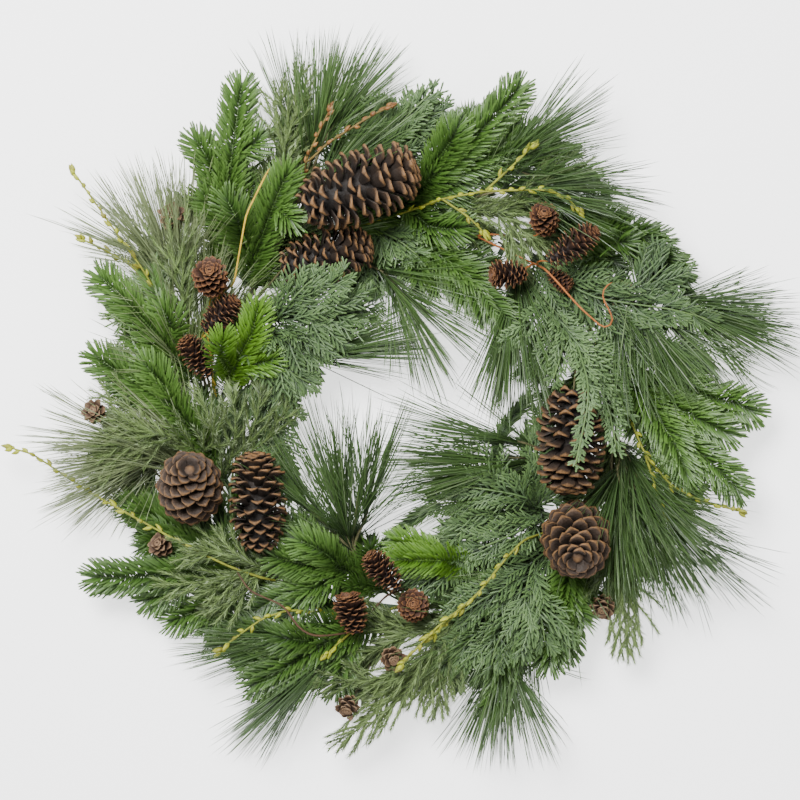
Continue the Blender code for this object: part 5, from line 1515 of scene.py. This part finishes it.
def grow_scales(growth, base, tip, radius, kind, rng):
    """Sets the scales of a cone on a spiral, turned back at its base and closing up at its tip."""
    count = kind.scales
    axis = units(tip - base)
    length = np.linalg.norm(tip - base)
    side = units(np.cross(axis, np.array([0.2, 0.5, 0.9])))
    up = np.cross(axis, side)
    share = ((np.arange(count) + 0.6) / count) ** 0.92
    turn = np.arange(count) * GOLDEN + rng.uniform(0, 6.28)
    out = leaned(side, up, turn)
    reach = cone_reach(share, radius)
    low, high = kind.open
    open_up = np.radians(low + (high - low) * share**1.25 + rng.normal(0, 3.0, count))
    foot = base + axis * (share * SCALED * length)[:, None]
    long = np.minimum(reach / np.maximum(np.cos(open_up), 0.62), reach * 1.3)
    head_room = (length - share * SCALED * length) / np.maximum(np.sin(open_up), 0.2)
    long = np.where(open_up > 0.5, np.minimum(long, head_room * 1.02), long)
    long = np.maximum(long * rng.uniform(0.95, 1.05, count), radius * 0.2)
    along = leaned(out, axis, open_up)
    over = leaned(axis, -out, open_up)
    across = np.cross(over, along)
    wide = radius * kind.wide * (0.62 + 0.38 * reach / radius) * rng.uniform(0.92, 1.08, count)
    thick = radius * kind.thick * rng.uniform(0.9, 1.1, count)
    marks, widths, thicks = np.array(kind.marks).T
    spread_out = np.linspace(-1, 1, kind.across)
    u = marks[None, :, None]
    v = spread_out[None, None, :]
    long, thick = long[:, None, None], thick[:, None, None]
    half = wide[:, None, None] * widths[None, :, None]
    arch = half * (SCALE_ARCH * v**2) + (SCALE_CUP * long) * u**2
    arch = arch - (SCALE_LIP * long) * np.clip(u - 0.8, 0, 1) * 5
    body = thick * thicks[None, :, None] * (1 - EDGE_THINNER * v**2)
    knob = (thick * KNOB) * np.exp(-((u - 0.95) / 0.05) ** 2 - (v / 0.4) ** 2)
    out_at = long * (u - 0.05 * v**2 * u)

    def spread(height):
        return (
            foot[:, None, None]
            + along[:, None, None] * out_at[..., None]
            + across[:, None, None] * (half * v)[..., None]
            + over[:, None, None] * height[..., None]
        ).reshape(count, -1, 3)

    points = np.concatenate([spread(arch + body / 2), spread(arch - body / 2 - knob)], axis=1)
    shares = np.tile(np.repeat(marks, kind.across), 2)
    edges = np.tile(np.abs(spread_out), 2 * len(marks))
    faces = scale_skin(len(marks), kind.across)
    growth.add(points, faces, np.zeros(len(faces), int), strewn(rng, 0.5, 0.2, count), shares, edges)
    stops = np.linspace(0, 1, CORE_STATIONS)
    line = base + axis * (stops * length * 0.97)[:, None]
    core = radius * kind.core * np.sin(np.pi * (0.1 + 0.8 * stops)) ** 0.6
    grow_one(growth, line, up, core, core, ROUND_CORE, 0, 0.1)


class Value:
    """A socket of a paint's nodes that can take part in sums."""

    def __init__(self, paint, socket):
        self.paint = paint
        self.socket = socket

    def sum(self, operation, *terms):
        values = dict(enumerate(terms))
        return self.paint.node("ShaderNodeMath", {"operation": operation}, values)

    def __add__(self, other):
        return self.sum("ADD", self, other)

    def __radd__(self, other):
        return self.sum("ADD", other, self)

    def __sub__(self, other):
        return self.sum("SUBTRACT", self, other)

    def __rsub__(self, other):
        return self.sum("SUBTRACT", other, self)

    def __mul__(self, other):
        return self.sum("MULTIPLY", self, other)

    def __rmul__(self, other):
        return self.sum("MULTIPLY", other, self)

    def __pow__(self, other):
        return self.sum("POWER", self, other)

    def held(self):
        """The value kept between 0 and 1."""
        return self.paint.node("ShaderNodeClamp", {}, {0: self})


class Paint:
    """A material, with its shader and one way to add nodes to it."""

    def __init__(self, name, roughness, coat=0.0):
        self.material = bpy.data.materials.new(name)
        self.material.use_nodes = True
        self.tree = self.material.node_tree
        self.shader = self.tree.nodes["Principled BSDF"]
        self.shader.inputs["Roughness"].default_value = roughness
        self.shader.inputs["Coat Weight"].default_value = coat

    def node(self, kind, settings, values, output=0):
        """Adds a node: its settings first, then the values or links of its sockets."""
        made = self.tree.nodes.new(kind)
        for key, value in settings.items():
            setattr(made, key, value)
        for key, value in values.items():
            if isinstance(value, Value):
                self.tree.links.new(value.socket, made.inputs[key])
            else:
                made.inputs[key].default_value = value
        return Value(self, made.outputs[output])

    def mix(self, share, one, two):
        """One colour turning into another."""
        one = one if isinstance(one, Value) else (*one, 1.0)
        two = two if isinstance(two, Value) else (*two, 1.0)
        settings = {"data_type": "RGBA"}
        return self.node("ShaderNodeMix", settings, {0: share, 6: one, 7: two}, 2)

    def grown(self):
        """The tint, the place along and the place across that each point was given."""
        whole = self.node("ShaderNodeAttribute", {"attribute_name": "grown"}, {}, "Vector")
        split = self.node("ShaderNodeSeparateXYZ", {}, {0: whole})
        outputs = split.socket.node.outputs
        return [Value(self, outputs[i]) for i in range(3)]

    def noise(self, scale, detail=2.0):
        """Soft patches of a size set by a scale per metre."""
        place = self.node("ShaderNodeTexCoord", {}, {}, "Object")
        return self.node("ShaderNodeTexNoise", {}, {"Vector": place, "Scale": scale, "Detail": detail})

    def finish(self, colour, roughness, height, distance, strength):
        """Joins colour, roughness and relief to the shader, and gives back the material."""
        self.wear("Base Color", colour)
        self.wear("Roughness", roughness.held())
        values = {"Height": height, "Distance": distance, "Strength": strength}
        self.wear("Normal", self.node("ShaderNodeBump", {}, values, "Normal"))
        return self.material

    def wear(self, socket, value):
        self.tree.links.new(value.socket, self.shader.inputs[socket])


def shaded(colour, share):
    """A colour darkened to a share of itself."""
    return [channel * share for channel in colour]


def green_paint(name, deep, fresh, tip, roughness=0.45):
    """Needles or scaly twigs: painted shade at the foot, deep in patches, fresher towards the tip."""
    paint = Paint(name, roughness)
    tint, share, _ = paint.grown()
    patch = paint.noise(11.0, 3.0)
    speck = paint.noise(420.0, 2.0)
    lightness = (tint * 0.8 + patch * 0.9 + speck * 0.25 - 0.48).held()
    colour = paint.mix(lightness, deep, fresh)
    colour = paint.mix((share * share * 0.5 * (0.4 + patch)).held(), colour, tip)
    # Painted shade: the foot of each needle, twig and stem is darkened towards a quarter of its deep
    # green.
    colour = paint.mix((0.9 - share * 3.4).held(), colour, shaded(deep, 0.25))
    return paint.finish(colour, roughness - 0.1 + speck * 0.22, speck, 0.0002, 0.4)


def bark_paint(name, deep, pale):
    """The skin of a woody stem, streaked and rough."""
    paint = Paint(name, 0.8)
    tint, _, _ = paint.grown()
    streak = paint.noise(160.0, 4.0)
    fine = paint.noise(900.0, 2.0)
    colour = paint.mix((streak * 1.6 - 0.35 + tint * 0.1).held(), deep, pale)
    return paint.finish(colour, 0.62 + fine * 0.3, streak + fine * 0.4, 0.0006, 0.8)


def cone_paint(name, inner_shade, face, rim):
    """Woody scales: painted shade inside, brown towards their ends, with a pale worn rim and fine
    fibres.
    """
    paint = Paint(name, 0.72)
    tint, share, edge = paint.grown()
    fibre = paint.noise(420.0, 4.0)
    patch = paint.noise(60.0, 3.0)
    # Painted shade: near black over the inner two thirds of each scale and along the core, turning to
    # the brown face beyond.
    body = paint.mix(((share - 0.68) * 3.6).held(), inner_shade, face)
    body = paint.mix((fibre * 1.5 - 0.3 + (tint - 0.5) * 0.8).held(), body, shaded(face, 0.5))
    rim_light = ((share - 0.93) * 14.0).held() * 0.8 + (edge**6.0) * ((share - 0.7) * 3.0).held() * 0.5
    body = paint.mix((rim_light * (0.3 + patch)).held(), body, rim)
    # Deeper painted shade still at the foot of each scale.
    body = paint.mix((0.9 - share * 1.7).held(), body, shaded(inner_shade, 0.3))
    return paint.finish(body, 0.55 + fibre * 0.35, fibre + patch, 0.0012, 0.8)


def bud_paint(name, deep, bright, tip):
    """Buds and catkins: bright, browner in patches, pale at the tip."""
    paint = Paint(name, 0.6)
    tint, share, _ = paint.grown()
    patch = paint.noise(130.0, 3.0)
    colour = paint.mix((tint * 0.9 + patch * 0.8 - 0.35).held(), deep, bright)
    colour = paint.mix(((share - 0.6) * 1.6).held() * 0.6, colour, tip)
    return paint.finish(colour, 0.45 + patch * 0.3, paint.noise(700.0, 3.0), 0.0005, 0.7)


def enamel_paint():
    """Dark green enamel on wire, worn to steel in small spots."""
    paint = Paint("green_enamel_wire", 0.4, coat=0.3)
    spots = ((paint.noise(260.0, 4.0) - 0.62) * 9.0).held()
    patch = paint.noise(40.0, 2.0)
    colour = paint.mix(patch, (0.02, 0.045, 0.02), (0.04, 0.08, 0.035))
    colour = paint.mix(spots, colour, (0.25, 0.25, 0.24))
    paint.wear("Metallic", spots)
    return paint.finish(colour, 0.32 + patch * 0.25, paint.noise(600.0, 2.0), 0.0002, 0.4)


BARK = bark_paint("green_brown_bark", (0.045, 0.04, 0.015), (0.12, 0.115, 0.045))
# Each foliage has its green: deep, fresh and at the tip, with a roughness of its own if it needs one.
# Needles have a paler one too, for their lower faces.
LEAF_COLOURS = {
    "fir_green": [
        ("fir_needle", (0.016, 0.048, 0.003), (0.07, 0.155, 0.022), (0.115, 0.2, 0.035)),
        ("fir_needle_under", (0.05, 0.1, 0.03), (0.13, 0.2, 0.09), (0.17, 0.23, 0.1)),
    ],
    "bright_fir_green": [
        ("bright_fir_needle", (0.03, 0.085, 0.003), (0.085, 0.195, 0.01), (0.15, 0.27, 0.03)),
        ("bright_fir_under", (0.06, 0.13, 0.02), (0.14, 0.24, 0.05), (0.18, 0.27, 0.07)),
    ],
    "pine_green": [
        ("pine_needle", (0.012, 0.034, 0.005), (0.068, 0.136, 0.031), (0.1, 0.15, 0.045)),
        ("pine_needle_inside", (0.035, 0.065, 0.018), (0.12, 0.17, 0.075), (0.14, 0.17, 0.08)),
    ],
    "pale_pine_green": [
        ("pale_pine_needle", (0.08, 0.11, 0.04), (0.21, 0.26, 0.12), (0.26, 0.3, 0.15)),
        ("pale_pine_inside", (0.14, 0.18, 0.085), (0.26, 0.31, 0.18), (0.28, 0.32, 0.18)),
    ],
    "cedar_green": [
        ("cedar_scale", (0.022, 0.05, 0.014), (0.085, 0.155, 0.05), (0.15, 0.25, 0.05), 0.6),
    ],
    "soft_grey_green": [
        ("juniper_needle", (0.025, 0.05, 0.006), (0.2, 0.3, 0.09), (0.28, 0.36, 0.14), 0.6),
        ("juniper_inside", (0.08, 0.12, 0.04), (0.27, 0.34, 0.19), (0.3, 0.37, 0.21), 0.6),
    ],
}
GREENS = {slot: [BARK] + [green_paint(*row) for row in rows] for slot, rows in LEAF_COLOURS.items()}
GREENS["yellow_buds"] = [
    bark_paint("yellow_green_bark", (0.1, 0.1, 0.008), (0.25, 0.28, 0.02)),
    bud_paint("yellow_bud", (0.15, 0.14, 0.01), (0.34, 0.38, 0.015), (0.44, 0.46, 0.05)),
]
GREENS["rust_brown_buds"] = [
    bark_paint("rust_bark", (0.08, 0.05, 0.012), (0.2, 0.14, 0.03)),
    bud_paint("rust_bud", (0.13, 0.05, 0.012), (0.27, 0.13, 0.035), (0.32, 0.24, 0.06)),
]
# Each kind of cone's scale colours: painted shade deep inside, the brown face and the pale rim.
SCALE_COLOURS = {
    "large": ("open_cone_scale", (0.007, 0.0035, 0.0015), (0.037, 0.018, 0.007), (0.19, 0.092, 0.027)),
    "small": ("brown_cone_scale", (0.012, 0.0035, 0.0015), (0.066, 0.021, 0.006), (0.21, 0.088, 0.025)),
    "tiny": ("pale_cone_scale", (0.03, 0.015, 0.008), (0.12, 0.062, 0.03), (0.24, 0.15, 0.075)),
}
WOODS = {kind: cone_paint(*row) for kind, row in SCALE_COLOURS.items()}
TENDRILS = {
    "cone_pick_left": bark_paint("yellow_tendril", (0.32, 0.2, 0.012), (0.55, 0.38, 0.03)),
    "cone_pick_top": bark_paint("orange_tendril", (0.2, 0.05, 0.01), (0.4, 0.14, 0.025)),
    "cone_pick_bottom": bark_paint("brown_tendril", (0.03, 0.013, 0.006), (0.09, 0.04, 0.015)),
}

KIND_SLOTS = {
    "large": "open_cone_scales",
    "small": "brown_cone_scales",
    "tiny": "pale_cone_scales",
    "catkin": "yellow_buds",
    "fir": "fir_green",
    "pine": "pine_green",
    "cedar": "cedar_green",
    "juniper": "soft_grey_green",
}
OWN_SLOTS = {
    "twig_brown": "rust_brown_buds",
    "fir_bright_left": "bright_fir_green",
    "fir_bright_bottom": "bright_fir_green",
    "pine_left_pale": "pale_pine_green",
    "pine_upper_pale": "pale_pine_green",
}

# How uneven the stems of cones are, and half their thickness at the foot and the tip. Then how much
# deeper than its own a spray's fill shoots are tinted as painted shade, and how far its tints stray
# between shoots.
STEM_KNOTS = 0.12
CONE_STEM = (STEM_HALF, 0.9)
CONE_SIDE_STEM = (SIDE_HALF, 0.8)
FIR_FILL_SHADE = 0.24
CEDAR_FILL_SHADE = 0.2
TINT_STRAY = 0.07
# Where foliage starts on a main stem, on the side stems of each kind and on others, and the share of
# a budded twig's stem that is bare.
NEAR_END = LANE_ZONE - 10
SIDE_FIRST = {"fir": 4.0, "cedar": 6.0, "juniper": 8.0, "catkin": 8.0}
CEDAR_FILL_FIRST = 8.0
SHORT_FIRST = 2.0
TWIG_BARE = 0.3
# Side shoots of pine and juniper: the end of the stem left to its own tip, the pitch and length, how
# far they lean and rise in radians, and for juniper the least length.
TIP_LEFT = 12
PINE_SIDES = (30.0, 42.0, (0.5, 0.9), (-0.3, 0.6))
JUNIPER_SIDES = (9.5, 40.0, (0.4, 0.75), (-0.4, 0.6))
JUNIPER_LEAST = 14.0
# The finished ring and its prongs: how high the wire's middle is, half its thickness, the stations of
# the ring and of a prong, where a prong's line starts, and half a prong's thickness.
RING_RISE = 2.55
RING_HALF = 2.5
RING_STEPS = 144
PRONG_STEPS = 16
PRONG_START = [(2.2, 2.6), (9.0, 2.8)]
PRONG_HALF = PRONG_THICK * 0.8


def clamped_stem(growth, shoot, paint):
    """The straight end of a stem that the clamp holds."""
    line = np.linspace(*shoot.lane, 4)
    grow_one(growth, line, VIEWER, STEM_HALF, STEM_HALF, ROUND_STEM, paint, 0.5)


def dress_cones(piece, shoot):
    """A stem or pick with its cones and tendril."""
    rng = seeded(piece.name, "scales")
    stem = TENDRILS.get(piece.name, BARK)
    kind = CONE_KINDS["rosette" if piece.name in ROSETTES else piece.kind]
    growth = Growth("dressed_" + piece.name, [WOODS[piece.kind], stem])
    clamped_stem(growth, shoot, 1)
    for end in shoot.family():
        halves = CONE_STEM if end is shoot else CONE_SIDE_STEM
        draw_stem(growth, axis_of(end), *halves, paint=1, tint=0.5, knots=STEM_KNOTS, rng=rng)
        if end.cone:
            grow_scales(growth, *end.cone, kind, rng)
    growth.finish(piece.name, KIND_SLOTS[piece.kind], crease=50.0)


def dress_spray(piece, shoot):
    """A spray, with the side shoots of the solids and finer ones that fill the wreath's body."""
    name, kind = piece.name, piece.kind
    rng = seeded(name, "leaves")
    slot = OWN_SLOTS.get(name, KIND_SLOTS[kind])
    growth = Growth("dressed_" + name, GREENS[slot])
    clamped_stem(growth, shoot, 0)
    main, *sides = [axis_of(stem) for stem in shoot.family()]
    habit = HABITS.get(name, {})
    more = further_axes(name, main) + fills.get(name, [])
    starts = [(main, NEAR_END)] + [(side, SIDE_FIRST.get(kind)) for side in sides]

    def own_tint():
        return float(np.clip(habit.get("tint", 0.5) + rng.normal(0, TINT_STRAY), 0, 1))

    # The under layer, tinted deepest as painted shade beneath the sprays.
    for side in unders.get(name, []):
        juniper_shoot(growth, side, SHORT_FIRST, rng, UNDER_SHADE_TINT, *UNDER_BUILD, ONE_GREEN)
    if kind == "fir":
        for axis, first in starts:
            fir_shoot(growth, axis, first, rng, own_tint(), long=habit.get("long", FIR_LONG))
        for side in more:
            # Fill shoots lie lower and are tinted deeper as painted shade.
            tint = own_tint() - FIR_FILL_SHADE
            fir_shoot(growth, side, SIDE_FIRST[kind], rng, tint, FIR_FILL_ROWS, FIR_FILL_SHAPE)
    elif kind == "pine":
        look = (habit.get("spread", 1.0), habit.get("long", PINE_LONG))
        for axis in [main] + sides:
            pine_tuft(growth, axis, habit.get("bundles", PINE_BUNDLES), rng, own_tint(), *look)
        if habit.get("fill", True):
            more += side_axes(main, NEAR_END, main.length - TIP_LEFT, *PINE_SIDES, rng)
        for side in more:
            pine_tuft(growth, side, PINE_FILL_BUNDLES, rng, own_tint(), *look)
    elif kind == "cedar":
        long = habit.get("long", CEDAR_LONG)
        for axis, first in starts:
            cedar_frond(growth, axis, first, rng, own_tint(), long)
        for side in more:
            # Fill shoots lie lower and are tinted deeper as painted shade.
            tint = own_tint() - CEDAR_FILL_SHADE
            cedar_frond(growth, side, CEDAR_FILL_FIRST, rng, tint, min(long, CEDAR_FILL_LONG))
    elif kind == "juniper":
        for axis, first in starts + [(side, SIDE_FIRST[kind]) for side in more]:
            juniper_shoot(growth, axis, first, rng, own_tint())
            last = axis.length - TIP_LEFT
            for side in side_axes(axis, first, last, *JUNIPER_SIDES, rng, JUNIPER_LEAST, free=True):
                juniper_shoot(growth, side, SHORT_FIRST, rng, own_tint())
    else:
        budded_twig(growth, main, main.length * TWIG_BARE, rng)
        for side in sides:
            budded_twig(growth, side, SIDE_FIRST[kind], rng)
    growth.finish(name, slot)


def dress_wire():
    """The round wire ring and the smooth prongs that close over the stems."""
    growth = Growth("dressed_wire_frame", [enamel_paint()])
    line = np.array([clamp_axes(clock)[0] for clock in np.arange(RING_STEPS) * 360.0 / RING_STEPS])
    line[:, 2] = RING_RISE
    grow_one(growth, line, VIEWER, RING_HALF, RING_HALF, ROUND_WIRE, 0, 0.5, closed=True)
    for k in range(CLAMPS):
        centre, way, out = clamp_axes(k * 360.0 / CLAMPS)
        for sign in (1, -1):
            knots = [centre + out * (sign * a) + VIEWER * r for a, r in PRONG_START + PRONG_LINE]
            rough = Axis(np.array(knots))
            places = rough.soft(np.linspace(0, rough.length, PRONG_STEPS), (-2, 0, 2))
            tops = np.cross(units(np.gradient(places, axis=0)), way)
            grow_one(growth, places, tops, CLAMP_HALF, PRONG_HALF, STRIP, 0, 0.5)
    growth.finish("wire_frame", "green_wire", crease=40.0)


# The studio, in metres: half the floor's width, how far it lies below the wreath and its even glow,
# which keeps it as pale as paper, two lamps as (name, place, size, power), the sky's light and the
# camera, whose lens and sensor are in millimetres.
FLOOR_HALF = 4
FLOOR_SINK = -0.0005
FLOOR_GLOW = 1.5
LAMPS = [("key_light", (-0.9, 1.3, 2.6), 1.5, 245.0), ("fill_light", (1.6, -0.8, 2.2), 2.6, 40.0)]
SKY = (0.95, 0.97, 1.0, 1.0)
SKY_STRENGTH = 0.45
CAMERA_HEIGHT = 4.05
CAMERA_LENS = 180.0
CAMERA_WIDTH = 36.0
CAMERA_FAR = 50.0


def lay_floor():
    """A plain pale surface under the wreath."""
    mesh = bpy.data.meshes.new("floor")
    corners = [(-1, -1), (1, -1), (1, 1), (-1, 1)]
    mesh.from_pydata([(x * FLOOR_HALF, y * FLOOR_HALF, 0) for x, y in corners], [], [(0, 1, 2, 3)])
    paper = Paint("pale_floor", 0.9)
    paper.shader.inputs["Emission Color"].default_value = (1.0, 1.0, 1.0, 1.0)
    paper.shader.inputs["Emission Strength"].default_value = FLOOR_GLOW
    paper.wear("Base Color", paper.mix(paper.noise(3.0), (0.90, 0.90, 0.90), (0.92, 0.92, 0.92)))
    mesh.materials.append(paper.material)
    floor = placed("floor", mesh, (0.0, 0.0, FLOOR_SINK))


def light_and_view():
    """Large soft lamps, an even sky and a camera looking straight down."""
    for name, place, size, power in LAMPS:
        light = bpy.data.lights.new(name, "AREA")
        light.size = size
        light.energy = power
        lamp = placed(name, light, place)
        lamp.rotation_euler = (-Vector(place)).to_track_quat("-Z", "Y").to_euler()
    world = bpy.data.worlds.new("studio")
    world.use_nodes = True
    sky = world.node_tree.nodes["Background"]
    sky.inputs["Color"].default_value = SKY
    sky.inputs["Strength"].default_value = SKY_STRENGTH
    bpy.context.scene.world = world
    camera = bpy.data.cameras.new("camera")
    camera.lens = CAMERA_LENS
    camera.sensor_width = CAMERA_WIDTH
    camera.clip_end = CAMERA_FAR
    bpy.context.scene.camera = placed("camera", camera, (0.0, 0.0, CAMERA_HEIGHT))


set_frame()
cone_stems, green_stems = layout()
cones = [stem.cone for _, shoot in cone_stems for stem in shoot.family() if stem.cone]
feet = [
    (piece.name, piece.kind, axis)
    for piece, shoot in green_stems
    if piece.kind != "catkin"
    for axis in [axis_of(stem) for stem in shoot.family()] + further_axes(piece.name, axis_of(shoot))
]
fills = fill_axes(feet, "over", OVER_RISE, OVER_WIDE)
unders = fill_axes(feet, "under", UNDER_RISE, UNDER_WIDE)
dress_wire()
for piece, shoot in cone_stems:
    dress_cones(piece, shoot)
for piece, shoot in green_stems:
    dress_spray(piece, shoot)
lay_floor()
light_and_view()
